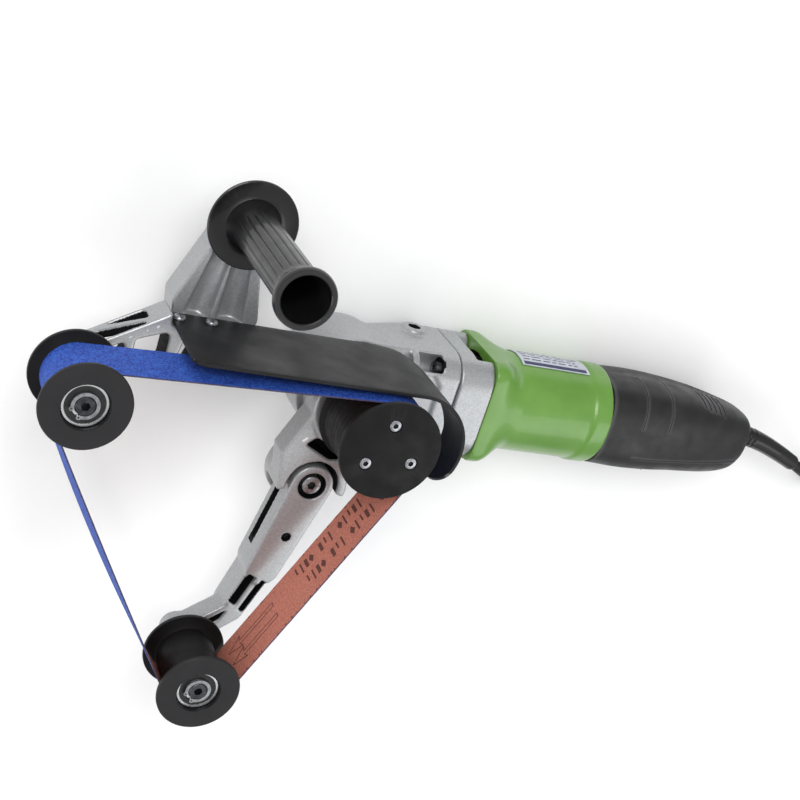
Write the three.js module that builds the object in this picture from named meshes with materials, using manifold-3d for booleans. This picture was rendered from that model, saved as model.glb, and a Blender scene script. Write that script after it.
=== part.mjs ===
// Handheld pipe belt sander: an angle-grinder style motor drives a roller, and an abrasive belt
// runs from it round two idlers, one on the cast arm and one on a sprung swing arm.
//
// Millimetres. The origin is where the spindle's axis meets the plane that the tool lies on.
// +X runs along the motor to the cord, +Z along the spindle to the rollers' outer faces.
import * as THREE from 'three';
import { mergeVertices } from 'three/addons/utils/BufferGeometryUtils.js';
import Module from 'manifold-3d';

const wasm = await Module();
wasm.setup();

// ---- Driving dimensions -------------------------------------------------------------------------

const GAP = 0.3;                      // clearance between pieces that touch or run together
const MOTOR_Z = 38;                   // height of the motor's axis
const ROLLER_BACK = 100;              // z of the rollers' back ends
const ROLLER_WIDTH = 50;
const ROLLER_FRONT = ROLLER_BACK + ROLLER_WIDTH;
const BELT_WIDTH = 40;
const BELT_THICKNESS = 1.2;
const BELT_BACK = ROLLER_BACK + (ROLLER_WIDTH - BELT_WIDTH) / 2;

const UPPER = new THREE.Vector2(-193, 3);      // upper idler's axis
const LOWER = new THREE.Vector2(-77, -188);    // lower idler's axis
const PIVOT = new THREE.Vector2(-18, -60);     // swing arm's axis
const GRIP = new THREE.Vector2(-100, 104);     // side handle's axis

const DRIVE_RADIUS = 30;
const IDLER_RADIUS = 19.5;
const IDLER_FLANGE = 27.5;
const SPINDLE_RADIUS = 7;
const AXLE_RADIUS = 6;

const CROWN_TEETH = 36;
const PINION_TEETH = 9;
const TOOTH_MODULE = 1.4;
const CROWN_PITCH = CROWN_TEETH * TOOTH_MODULE / 2;
const PINION_PITCH = PINION_TEETH * TOOTH_MODULE / 2;

const HEAD_HALF = 38;                 // gear head: half its width
const HEAD_TOP = 75;                  // z of the gear head's front face beside the motor
const HEAD_FRONT = 64;                // and round the spindle, where the guard passes in front
const HEAD_STEP = 35;                 // x where the one steps up to the other
const HEAD_END = 72;                  // x where the gear head meets the bearing plate
const COLLAR_START = 98;              // x of the green housing's front edge
const FLARE_END = 126;                // x where the square collar has run out into the barrel
const BARREL_RADIUS = 35.5;
const BARREL_END = 201;
const TAIL_END = 338;

const ARM_BACK = 66;                  // the casting's beam lies between these heights
const ARM_FRONT = 92;
const GUARD_TOP = 37;
const GUARD_SHEET = 2.2;

const CORD_RADIUS = 4.5;
const COIL_CENTRE = new THREE.Vector2(528, -10);
const COIL_MEAN = 49.5;
const COIL_ACROSS = 3;                // turns side by side, and turns on each other

// ---- Materials ----------------------------------------------------------------------------------

function material(color, roughness, metalness) {
  return new THREE.MeshStandardMaterial({ color, roughness, metalness });
}

const CAST = material(0xc6c8ca, 0.55, 0.75);
const STEEL = material(0xa9acb0, 0.3, 0.95);
const DARK_STEEL = material(0x55585c, 0.4, 0.9);
const GREEN = material(0x7fb04c, 0.4, 0.0);
const BLACK = material(0x2b2c2d, 0.55, 0.0);
const ROLLER = material(0x303133, 0.6, 0.1);
const GUARD = material(0x3c3d3f, 0.6, 0.1);
const BELT = material(0x2f5bc4, 0.85, 0.0);
const COPPER = material(0xb06a3a, 0.35, 0.9);
const LABEL = material(0x9fa3ab, 0.4, 0.3);
const BRONZE = material(0x8f7440, 0.5, 0.7);

// ---- Solids -------------------------------------------------------------------------------------

function solid(geometry) {
  const bare = geometry.index ? geometry.toNonIndexed() : geometry.clone();
  bare.deleteAttribute('normal');
  bare.deleteAttribute('uv');
  const merged = mergeVertices(bare, 1e-5);
  return new wasm.Manifold(new wasm.Mesh({
    numProp: 3,
    vertProperties: merged.attributes.position.array,
    triVerts: new Uint32Array(merged.index.array),
  }));
}

function geometryOf(body) {
  const mesh = body.getMesh();
  const geometry = new THREE.BufferGeometry();
  geometry.setAttribute('position', new THREE.BufferAttribute(mesh.vertProperties, 3));
  geometry.setIndex(new THREE.BufferAttribute(mesh.triVerts, 1));
  return geometry;
}

function join(...bodies) {
  return bodies.reduce((sum, body) => sum.add(body));
}

function cut(body, ...tools) {
  return tools.reduce((rest, tool) => rest.subtract(tool), body);
}

// A box between two corners.
function block(low, high) {
  const size = high.map((value, i) => value - low[i]);
  const box = new THREE.BoxGeometry(...size);
  return solid(box.translate(...low.map((value, i) => value + size[i] / 2)));
}

// Turns a geometry made along +Z so that its +Z points along an axis, then moves it.
const AXES = { x: [0, Math.PI / 2, 0], y: [-Math.PI / 2, 0, 0], z: [0, 0, 0] };

function laid(geometry, axis, at) {
  const [rx, ry, rz] = AXES[axis];
  return geometry.rotateX(rx).rotateY(ry).rotateZ(rz).translate(...at);
}

// A cylinder that starts at a point and runs along an axis.
function rod(radius, length, axis, at, sides = 12, endRadius = radius) {
  const bar = new THREE.CylinderGeometry(endRadius, radius, length, sides);
  return solid(laid(bar.rotateX(Math.PI / 2).translate(0, 0, length / 2), axis, at));
}

// A turned piece: the profile is [radius, height] pairs, closed on itself or on the axis.
function turned(profile, axis = 'z', at = [0, 0, 0], sides = 20) {
  const points = profile.map(([r, h]) => new THREE.Vector2(r, h));
  if (THREE.ShapeUtils.area(points) < 0) points.reverse();
  if (points[0].x > 0 || points.at(-1).x > 0) points.push(points[0].clone());
  return solid(laid(new THREE.LatheGeometry(points, sides).rotateX(Math.PI / 2), axis, at));
}

// A ring of rectangular section.
function ring(inner, outer, length, axis, at, sides = 20) {
  return turned([[inner, 0], [outer, 0], [outer, length], [inner, length]], axis, at, sides);
}

// A plan outline raised from one height to another.
function raised(shape, low, high, curveSegments = 7) {
  const body = new THREE.ExtrudeGeometry(shape, { depth: high - low, bevelEnabled: false, curveSegments });
  return solid(body.translate(0, 0, low));
}

function polygon(points) {
  return new THREE.Shape(points.map(([x, y]) => new THREE.Vector2(x, y)));
}

// The outline round two circles and the straight lines that touch both.
function link(a, radiusA, b, radiusB) {
  const way = Math.atan2(b.y - a.y, b.x - a.x);
  const lean = Math.acos((radiusA - radiusB) / a.distanceTo(b));
  const shape = new THREE.Shape();
  shape.absarc(a.x, a.y, radiusA, way + lean, way - lean + 2 * Math.PI, false);
  shape.absarc(b.x, b.y, radiusB, way - lean, way + lean, false);
  return shape;
}

// A square of rounded corners across the motor's axis, raised along X.
function squareAlongX(half, corner, start, end) {
  const shape = new THREE.Shape();
  const flat = half - corner;
  shape.absarc(flat, flat, corner, 0, Math.PI / 2, false);
  shape.absarc(-flat, flat, corner, Math.PI / 2, Math.PI, false);
  shape.absarc(-flat, -flat, corner, Math.PI, 1.5 * Math.PI, false);
  shape.absarc(flat, -flat, corner, 1.5 * Math.PI, 2 * Math.PI, false);
  const bar = new THREE.ExtrudeGeometry(shape, { depth: end - start, bevelEnabled: false, curveSegments: 5 });
  return solid(laid(bar, 'x', [start, 0, MOTOR_Z]));
}

// A socket-head or countersunk screw along +Z, its head's top at the origin: the caller lays it.
function screw(shankRadius, headRadius, headHeight, length, socket, sides = 10) {
  const head = rod(headRadius, headHeight, 'z', [0, 0, -headHeight], sides);
  const shank = rod(shankRadius, length + headHeight * 0.2, 'z', [0, 0, -headHeight - length], sides);
  return cut(join(head, shank), rod(socket, headHeight * 0.6, 'z', [0, 0, -headHeight * 0.6 + 0.01], 6));
}

const tool = new THREE.Group();

function add(name, body, look, at = [0, 0, 0], turn = [0, 0, 0]) {
  const mesh = new THREE.Mesh(geometryOf(body), look);
  mesh.name = name;
  mesh.position.set(...at);
  mesh.rotation.set(...turn);
  tool.add(mesh);
}

const corners = [[1, 1], [-1, 1], [-1, -1], [1, -1]];

// ---- Gear head ----------------------------------------------------------------------------------

const PLATE_CORNER = 20;              // corner radius of the head's and the plate's section
const CORNER_SCREW = 27;              // offset of the corner screws from the motor's axis

function headOutline(half) {
  const shape = new THREE.Shape();
  shape.moveTo(HEAD_END, -half);
  shape.lineTo(HEAD_END, half);
  shape.absarc(0, 0, half, Math.PI / 2, 1.5 * Math.PI, false);
  return shape;
}

// A dome round the spindle, and a neck towards the motor whose back edges are rounded off more
// the nearer they come to the dome.
function gearHead() {
  const dome = turned([
    [0, 0], [26, 0], [32, 4], [36, 14], [HEAD_HALF, 30], [HEAD_HALF, HEAD_TOP], [0, HEAD_TOP],
  ], 'z', [0, 0, 0], 24);
  const swell = turned([
    [0, 0], [35, 0], [40, 25], [44, 50], [47, HEAD_END], [0, HEAD_END],
  ], 'x', [0, 0, MOTOR_Z], 24);
  const neck = squareAlongX(HEAD_HALF, PLATE_CORNER, 0, HEAD_END)
    .intersect(join(swell, block([-1, -50, MOTOR_Z], [HEAD_END + 1, 50, 80])));
  let body = join(dome, neck).intersect(raised(headOutline(HEAD_HALF), 0, HEAD_TOP, 12));
  body = join(body, rod(9, 4, 'y', [48, HEAD_HALF - 1, 29]));
  body = cut(
    body,
    block([-50, -50, HEAD_FRONT], [HEAD_STEP, 50, 90]),
    rod(31, HEAD_TOP, 'z', [0, 0, 40], 24),
    rod(20, 40, 'z', [0, 0, 7.8], 16),
    rod(20, HEAD_END + 1, 'x', [0, 0, MOTOR_Z], 16),
    rod(10.3, 5, 'z', [0, 0, 3], 16),
    rod(4.2, 12, 'y', [48, 30, 29], 14),
  );
  for (const [sy, sz] of corners) {
    const y = sy * CORNER_SCREW;
    const z = MOTOR_Z + sz * CORNER_SCREW;
    const pocket = rod(6.5, 18, 'x', [40, y, z], 12);
    const mouth = block(
      [40, Math.min(y, sy * 45), Math.min(z, MOTOR_Z + sz * 45)],
      [58, Math.max(y, sy * 45), Math.max(z, MOTOR_Z + sz * 45)],
    );
    body = cut(body, pocket, mouth, rod(2.8, 20, 'x', [55, y, z], 10));
  }
  return body;
}

add('gear_housing', gearHead(), CAST);

function bearingPlate() {
  const bosses = corners.map(([sy, sz]) => {
    const at = [85, sy * CORNER_SCREW, MOTOR_Z + sz * CORNER_SCREW];
    return rod(9, COLLAR_START - GAP - 85, 'x', at, 14);
  });
  let body = join(squareAlongX(HEAD_HALF, PLATE_CORNER, HEAD_END + GAP, 85), ...bosses);
  body = body.intersect(squareAlongX(HEAD_HALF, PLATE_CORNER, HEAD_END, COLLAR_START));
  body = cut(
    body,
    rod(14.3, 10, 'x', [HEAD_END, 0, MOTOR_Z], 20),
    rod(9, 20, 'x', [HEAD_END, 0, MOTOR_Z], 18),
    rod(24, 8, 'x', [79.5, 0, MOTOR_Z], 18).subtract(rod(17, 9, 'x', [79, 0, MOTOR_Z], 18)),
  );
  for (const [sy, sz] of corners) {
    const at = [HEAD_END - 1, sy * CORNER_SCREW, MOTOR_Z + sz * CORNER_SCREW];
    body = cut(body, rod(2.8, 30, 'x', at, 10));
  }
  return body;
}

add('bearing_plate', bearingPlate(), CAST);

corners.forEach(([sy, sz], i) => {
  const at = [53.5, sy * CORNER_SCREW, MOTOR_Z + sz * CORNER_SCREW];
  add(`housing_screw_${i + 1}`, screw(2.5, 4.5, 4.5, 52, 1.8), STEEL, at, [0, -Math.PI / 2, 0]);
});

// The bearing flange closes the head; its collar centres the arm casting on the spindle.
add('spindle_flange', turned([
  [14.3, 56.5], [30.7, 56.5], [30.7, HEAD_FRONT + GAP], [33, HEAD_FRONT + GAP], [33, 70], [25, 70],
  [25, 95], [9, 95], [9, 69], [14.3, 69],
]), CAST);

function bearing(inner, outer, width) {
  return ring(inner, outer, width, 'z', [0, 0, 0], 12);
}

// ---- Spindle and its crown gear -----------------------------------------------------------------

const ROLLER_SEAT = ROLLER_FRONT - 3.3;
const CROWN_FACE = MOTOR_Z + PINION_PITCH;

add('spindle_bush', ring(SPINDLE_RADIUS - 1 + GAP, 10, 4.5, 'z', [0, 0, 3 + GAP], 18), BRONZE);
add('spindle_bearing', bearing(SPINDLE_RADIUS + GAP, 14, 11), STEEL, [0, 0, 57.5]);
add('spindle', turned([
  [0, 3.5], [SPINDLE_RADIUS - 1, 3.5], [SPINDLE_RADIUS - 1, 12], [SPINDLE_RADIUS, 13],
  [SPINDLE_RADIUS, 55.6], [SPINDLE_RADIUS + 1.6, 55.6], [SPINDLE_RADIUS + 1.6, 57],
  [SPINDLE_RADIUS, 57], [SPINDLE_RADIUS, ROLLER_SEAT - 1], [0, ROLLER_SEAT - 1],
], 'z', [0, 0, 0], 16), STEEL);

// A straight tooth of a bevel gear: a tapered bar along +X from one radius to another, whose
// flanks and height shrink towards the cones' common tip.
function bevelTooth(inner, outer, width, height) {
  const shrink = inner / outer;
  const end = (x, scale) => [
    [x, -width * scale / 2, 0], [x, width * scale / 2, 0],
    [x, width * scale / 4, height * scale], [x, -width * scale / 4, height * scale],
  ];
  const points = [...end(inner, shrink), ...end(outer, 1)].flat();
  const quads = [[0, 1, 2, 3], [7, 6, 5, 4], [0, 4, 5, 1], [1, 5, 6, 2], [2, 6, 7, 3], [3, 7, 4, 0]];
  const geometry = new THREE.BufferGeometry();
  geometry.setAttribute('position', new THREE.Float32BufferAttribute(points, 3));
  geometry.setIndex(quads.flatMap(([a, b, c, d]) => [a, c, b, a, d, c]));
  return solid(geometry);
}

const TOOTH_HEIGHT = 1.5;
const TOOTH_INNER = 17;
const CONE = Math.atan2(PINION_PITCH, CROWN_PITCH);     // the pinion's pitch cone angle
const TOOTH_WIDTH = 0.36 * Math.PI * TOOTH_MODULE;

// The crown gear's root cone lies above the pitch cone by more than the pinion's teeth stand.
function crownGear() {
  const root = 1.2;
  const rise = (radius, height) => CROWN_FACE + root - (CROWN_PITCH - radius) * Math.tan(CONE) + height;
  let body = turned([
    [SPINDLE_RADIUS + GAP, rise(TOOTH_INNER - 2, 0)], [TOOTH_INNER - 2, rise(TOOTH_INNER - 2, 0)],
    [CROWN_PITCH + 1, rise(CROWN_PITCH + 1, 0)], [CROWN_PITCH + 1, 52], [15, 53], [15, 55.3],
    [SPINDLE_RADIUS + GAP, 55.3],
  ], 'z', [0, 0, 0], CROWN_TEETH);
  for (let i = 0; i < CROWN_TEETH; i += 1) {
    const tooth = bevelTooth(TOOTH_INNER, CROWN_PITCH, TOOTH_WIDTH, TOOTH_HEIGHT + 0.4)
      .translate([0, 0, -0.4])
      .rotate([180, -THREE.MathUtils.radToDeg(CONE), 0])
      .translate([0, 0, MOTOR_Z + root])
      .rotate([0, 0, (i + 0.5) * 360 / CROWN_TEETH]);
    body = body.add(tooth);
  }
  return body;
}

function pinion() {
  const root = 0.95;
  const cone = x => x * Math.tan(CONE) - root;
  let body = turned([
    [4.3, 12.5], [4.3, TOOTH_INNER - 3], [cone(TOOTH_INNER) + 0.6, TOOTH_INNER - 1],
    [cone(CROWN_PITCH), CROWN_PITCH], [cone(CROWN_PITCH), CROWN_PITCH + 3], [3 + GAP, CROWN_PITCH + 3],
    [3 + GAP, 12.5],
  ], 'x', [0, 0, MOTOR_Z], PINION_TEETH);
  for (let i = 0; i < PINION_TEETH; i += 1) {
    const tooth = bevelTooth(TOOTH_INNER, CROWN_PITCH, TOOTH_WIDTH, TOOTH_HEIGHT + 0.4)
      .translate([0, 0, -0.4 - root])
      .rotate([0, -THREE.MathUtils.radToDeg(CONE), 0])
      .rotate([i * 360 / PINION_TEETH, 0, 0])
      .translate([0, 0, MOTOR_Z]);
    body = body.add(tooth);
  }
  return cut(body, rod(3 + GAP, 30, 'x', [5, 0, MOTOR_Z], 14));
}

add('crown_gear', crownGear(), STEEL);
add('pinion', pinion(), STEEL);

// ---- Motor --------------------------------------------------------------------------------------

const SHAFT = 4;
const SHAFT_END = BARREL_END + 19;
const CORE_START = 118;
const CORE_END = 160;
const BRUSH_X = 182;

function motorHousing() {
  const flare = squareAlongX(HEAD_HALF, 12, COLLAR_START, FLARE_END)
    .intersect(rod(52, FLARE_END - COLLAR_START, 'x', [COLLAR_START, 0, MOTOR_Z], 24, BARREL_RADIUS - 0.5));
  const barrel = rod(BARREL_RADIUS, BARREL_END - COLLAR_START, 'x', [COLLAR_START, 0, MOTOR_Z], 24);
  const band = rod(BARREL_RADIUS + 1.4, 14, 'x', [BARREL_END - 14, 0, MOTOR_Z], 24);
  let body = join(flare, barrel, band);
  body = cut(body, rod(BARREL_RADIUS - 3.2, BARREL_END - 90, 'x', [COLLAR_START - 1, 0, MOTOR_Z], 20));
  body = join(body, ring(14, BARREL_RADIUS - 2, 3, 'x', [BRUSH_X + 8, 0, MOTOR_Z], 20));
  for (const side of [1, -1]) {
    const ends = [side * 13, side * (BARREL_RADIUS - 4)];
    const holder = block(
      [BRUSH_X - 5.5, Math.min(...ends), MOTOR_Z - 6],
      [BRUSH_X + 9, Math.max(...ends), MOTOR_Z + 6],
    );
    body = body.add(holder);
  }
  body = cut(body, block(
    [BRUSH_X - 3.3, -27, MOTOR_Z - 4.3],
    [BRUSH_X + 3.3, 27, MOTOR_Z + 4.3],
  ));
  for (const [sy, sz] of corners) {
    const at = [COLLAR_START - 1, sy * CORNER_SCREW, MOTOR_Z + sz * CORNER_SCREW];
    body = cut(body, rod(2.8, 14, 'x', at, 10));
  }
  return body;
}

add('motor_housing', motorHousing(), GREEN);

function nameplate() {
  const inner = BARREL_RADIUS + GAP;
  const sleeve = ring(inner, inner + 0.6, 56, 'x', [FLARE_END + 2, 0, MOTOR_Z], 72);
  return sleeve.intersect(block([120, 30, MOTOR_Z - 19.5], [190, 40, MOTOR_Z + 13]));
}

add('nameplate', nameplate(), LABEL);

add('front_motor_bearing', bearing(SHAFT + GAP, 14, 9), STEEL, [HEAD_END + GAP, 0, MOTOR_Z], [0, Math.PI / 2, 0]);
add('rear_motor_bearing', bearing(SHAFT + GAP, 11, 8), STEEL, [BARREL_END + 9, 0, MOTOR_Z], [0, Math.PI / 2, 0]);
function fan() {
  let body = ring(SHAFT + GAP, 8, 11, 'x', [101, 0, MOTOR_Z], 12);
  body = join(body, ring(7, 29, 2, 'x', [101, 0, MOTOR_Z], 18));
  for (let i = 0; i < 9; i += 1) {
    const blade = block([102, 8.5, -0.9], [111, 28.5, 0.9]).rotate([i * 40, 0, 0]);
    body = body.add(blade.translate([0, 0, MOTOR_Z]));
  }
  return body;
}

add('cooling_fan', fan(), BLACK);

function armature() {
  let core = rod(18.2, CORE_END - CORE_START - 2, 'x', [CORE_START + 1, 0, MOTOR_Z], 18);
  for (let i = 0; i < 9; i += 1) {
    const slot = block([CORE_START, 14, -1], [CORE_END, 19, 1]).rotate([i * 40, 0, 0]);
    core = cut(core, slot.translate([0, 0, MOTOR_Z]));
  }
  const windings = turned([
    [0, CORE_START - 5], [12, CORE_START - 5], [15.5, CORE_START], [15.5, CORE_END - 1],
    [13, CORE_END + 8], [0, CORE_END + 10],
  ], 'x', [0, 0, MOTOR_Z], 14);
  const shaft = turned([
    [0, 13], [3, 13], [3, 29], [SHAFT, 29], [SHAFT, SHAFT_END], [0, SHAFT_END],
  ], 'x', [0, 0, MOTOR_Z], 12);
  return join(core, windings, shaft);
}

add('armature', armature(), DARK_STEEL);

function commutator() {
  let body = ring(SHAFT + GAP, 11, 16, 'x', [175, 0, MOTOR_Z], 18);
  for (let i = 0; i < 12; i += 1) {
    const slit = block([174, 9.8, -0.4], [192, 12, 0.4]).rotate([i * 30 + 15, 0, 0]);
    body = cut(body, slit.translate([0, 0, MOTOR_Z]));
  }
  return body;
}

add('commutator', commutator(), COPPER);

add('stator', turned([
  [19.2, CORE_START], [19.2, CORE_END], [21, CORE_END + 1], [22, CORE_END + 8], [28, CORE_END + 8],
  [30, CORE_END], [31.8, CORE_END], [31.8, CORE_START], [30, CORE_START], [28, CORE_START - 7],
  [22, CORE_START - 7], [21, CORE_START - 1],
], 'x', [0, 0, MOTOR_Z], 18), DARK_STEEL);

[1, -1].forEach((side, i) => {
  const ends = [side * 11.4, side * 26];
  add(`carbon_brush_${i + 1}`, block(
    [BRUSH_X - 3, Math.min(...ends), MOTOR_Z - 4],
    [BRUSH_X + 3, Math.max(...ends), MOTOR_Z + 4],
  ), DARK_STEEL);
});

// ---- Tail: two moulded shells that close round the switch and the cord ----------------------------

const SWITCH_TRAVEL = 8;
const SWITCH_X = 254;
const TAIL_BOSSES = [[232, 20], [314, 13]];

// The tail's half width at a few stations along X; its height follows the same taper.
const TAIL_TAPER = [
  [BARREL_END, 33.5], [228, 34.5], [255, 33.6], [284, 30.8], [309, 26.6], [327, 22.6], [TAIL_END, 18.5],
];

function taperOutline(grow) {
  const side = TAIL_TAPER.map(([x, half]) => [x, half + grow]);
  return polygon([...side, ...side.map(([x, half]) => [x, -half]).reverse()]);
}

function tailForm(grow) {
  const ends = { depth: 100, bevelEnabled: false };
  const plan = solid(new THREE.ExtrudeGeometry(taperOutline(grow), ends).translate(0, 0, MOTOR_Z - 50));
  const side = solid(new THREE.ExtrudeGeometry(taperOutline(grow), ends)
    .rotateX(Math.PI / 2).translate(0, 50, MOTOR_Z));
  const rounded = turned([
    [0, BARREL_END], ...TAIL_TAPER.map(([x, half]) => [(half + grow) * 1.16, x]), [0, TAIL_END],
  ], 'x', [0, 0, MOTOR_Z], 20);
  return plan.intersect(side).intersect(rounded);
}

function tail() {
  const start = BARREL_END + GAP;
  let body = tailForm(0).intersect(block([start, -50, -10], [TAIL_END, 50, 90]));
  const chamber = tailForm(-3.2).intersect(block([BARREL_END + 21, -50, -10], [TAIL_END - 9, 50, 90]));
  body = cut(body, chamber);
  for (const [x, y] of TAIL_BOSSES) {
    const post = rod(4.8, 90, 'z', [x, y, -5], 12).intersect(tailForm(-1));
    body = body.add(post);
  }
  body = cut(
    body,
    rod(28, 8, 'x', [BARREL_END - 1, 0, MOTOR_Z], 16),
    rod(11.3, 18, 'x', [BARREL_END, 0, MOTOR_Z], 16),
    rod(6, 20, 'x', [BARREL_END + 14, 0, MOTOR_Z], 14),
    rod(7, 20, 'x', [TAIL_END - 15, 0, MOTOR_Z], 14),
    block([SWITCH_X - 5 - SWITCH_TRAVEL, -50, MOTOR_Z - 3.6], [SWITCH_X + 5, -20, MOTOR_Z + 3.6]),
  );
  for (const [x, y] of TAIL_BOSSES) {
    body = cut(
      body,
      rod(1.9, 60, 'z', [x, y, 12], 12),
      rod(3.8, 22, 'z', [x, y, -10], 12),
    );
  }
  for (let i = 0; i < 5; i += 1) {
    const x = 284 + i * 5;
    body = cut(body, block([x, -9, -5], [x + 2.2, 9, 90]));
  }
  return body;
}

const tailBody = tail();
add('tail_shell_front', tailBody.intersect(block([200, -60, MOTOR_Z + GAP / 2], [360, 60, 100])), BLACK);
add('tail_shell_back', tailBody.intersect(block([200, -60, -10], [360, 60, MOTOR_Z - GAP / 2])), BLACK);

TAIL_BOSSES.forEach(([x, y], i) => {
  add(`tail_screw_${i + 1}`, screw(1.6, 3.4, 3, 38, 1.2), STEEL, [x, y, 8.7], [Math.PI, 0, 0]);
});

add('switch_body', block([SWITCH_X - 14, -24, MOTOR_Z - 8], [SWITCH_X + 14, -10, MOTOR_Z + 8]), BLACK);
add('slide_switch', join(
  block([SWITCH_X - 12, -37.5, MOTOR_Z - 6], [SWITCH_X + 12, -34.4, MOTOR_Z + 6]),
  block([SWITCH_X - 4, -38.5, MOTOR_Z - 5.5], [SWITCH_X + 4, -34.4, MOTOR_Z + 5.5]),
  block([SWITCH_X - 4, -36, MOTOR_Z - 3], [SWITCH_X + 4, -25.2, MOTOR_Z + 3]),
), DARK_STEEL);

// ---- Drive roller -------------------------------------------------------------------------------

const DISC_RADIUS = 33.7;
const DISC_SCREW_CIRCLE = 17.5;
const DISC_SCREW_TURN = THREE.MathUtils.degToRad(97);

function driveRoller() {
  const z = ROLLER_BACK;
  let body = turned([
    [SPINDLE_RADIUS + GAP, z], [32.4, z], [32.4, z + 2.5], [DRIVE_RADIUS, z + 5],
    [DRIVE_RADIUS, ROLLER_SEAT], [25.5, ROLLER_SEAT], [25.5, z + 14], [22, z + 14],
    [22, ROLLER_SEAT], [SPINDLE_RADIUS + GAP, ROLLER_SEAT],
  ], 'z', [0, 0, 0], 24);
  for (let i = 0; i < 3; i += 1) {
    const angle = DISC_SCREW_TURN + i * 2 * Math.PI / 3;
    const at = [DISC_SCREW_CIRCLE * Math.cos(angle), DISC_SCREW_CIRCLE * Math.sin(angle), 130];
    body = cut(body, rod(2.3, 20, 'z', at, 12));
  }
  return body;
}

function driveDisc() {
  let body = turned([
    [0, ROLLER_SEAT + GAP], [DISC_RADIUS, ROLLER_SEAT + GAP], [DISC_RADIUS, ROLLER_FRONT - 0.6],
    [DISC_RADIUS - 0.6, ROLLER_FRONT], [0, ROLLER_FRONT],
  ], 'z', [0, 0, 0], 24);
  for (let i = 0; i < 3; i += 1) {
    const angle = DISC_SCREW_TURN + i * 2 * Math.PI / 3;
    const at = [DISC_SCREW_CIRCLE * Math.cos(angle), DISC_SCREW_CIRCLE * Math.sin(angle), ROLLER_FRONT - 6];
    const sink = rod(2.3, 3.8, 'z', [at[0], at[1], ROLLER_FRONT - 3.7], 12, 4.6);
    body = cut(body, rod(2.3, 8, 'z', at, 12), sink);
  }
  return body;
}

function countersunk(shank, head, headHeight, length) {
  const cone = rod(shank, headHeight, 'z', [0, 0, -headHeight], 12, head);
  const bar = rod(shank, length + headHeight * 0.1, 'z', [0, 0, -headHeight - length], 12);
  return cut(join(cone, bar), rod(1.4, 1.6, 'z', [0, 0, -1.5], 6));
}

add('drive_roller', driveRoller(), ROLLER);
add('drive_disc', driveDisc(), ROLLER);
for (let i = 0; i < 3; i += 1) {
  const angle = DISC_SCREW_TURN + i * 2 * Math.PI / 3;
  const at = [DISC_SCREW_CIRCLE * Math.cos(angle), DISC_SCREW_CIRCLE * Math.sin(angle), ROLLER_FRONT - 0.3];
  add(`disc_screw_${i + 1}`, countersunk(2, 3.9, 2.6, 12), STEEL, at);
}

// ---- Idlers -------------------------------------------------------------------------------------

const IDLER_BORE = 14.3;

// Heights here are above the roller's back end.
function idler(name, centre) {
  const at = [centre.x, centre.y, ROLLER_BACK];
  const width = ROLLER_WIDTH;
  add(`${name}_roller`, turned([
    [IDLER_BORE, 0], [IDLER_FLANGE, 0], [IDLER_FLANGE, 3], [IDLER_RADIUS - 0.3, 5],
    [IDLER_RADIUS, width / 2], [IDLER_RADIUS - 0.3, width - 5], [IDLER_FLANGE, width - 3],
    [IDLER_FLANGE, width], [IDLER_BORE, width], [IDLER_BORE, 38.2], [12.3, 38.2], [12.3, 11.8],
    [IDLER_BORE, 11.8],
  ], 'z', [0, 0, 0], 20), ROLLER, at);
  add(`${name}_bearing_back`, bearing(AXLE_RADIUS + GAP, 14, 8), STEEL, [at[0], at[1], at[2] + 3.5]);
  add(`${name}_bearing_front`, bearing(AXLE_RADIUS + GAP, 14, 8), STEEL, [at[0], at[1], at[2] + 38.5]);
  add(`${name}_axle`, cut(
    turned([
      [0, -30], [4.8, -30], [4.8, -2.4], [8, -2.4], [8, 3.2], [AXLE_RADIUS, 3.2],
      [AXLE_RADIUS, 48.6], [0, 48.6],
    ], 'z', [0, 0, 0], 14),
    rod(3, 6, 'z', [0, 0, 43], 6),
  ), STEEL, at);
  const clip = cut(
    ring(6.9, 8.6, 1.2, 'z', [0, 0, 47], 16),
    block([-20, -3, 46], [0, 3, 49]),
  );
  add(`${name}_circlip`, clip, STEEL, at, [0, 0, THREE.MathUtils.degToRad(45)]);
}

idler('upper_idler', UPPER);
idler('lower_idler', LOWER);

// ---- Arm casting --------------------------------------------------------------------------------

const BEAM_FRONT = 84;
const POST_FRONT = 65.7;              // the handle's post passes behind the guard
const BOSS_FRONT = 70;                // where the side handle's flange sits

const GUARD_SCREWS = [-131, -110];     // x of the two screws that hold the guard
const CLAMP_X = 42;                   // the clamp bolt's distance from the spindle
const CLAMP_TURN = -32;               // degrees round from +X

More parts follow.
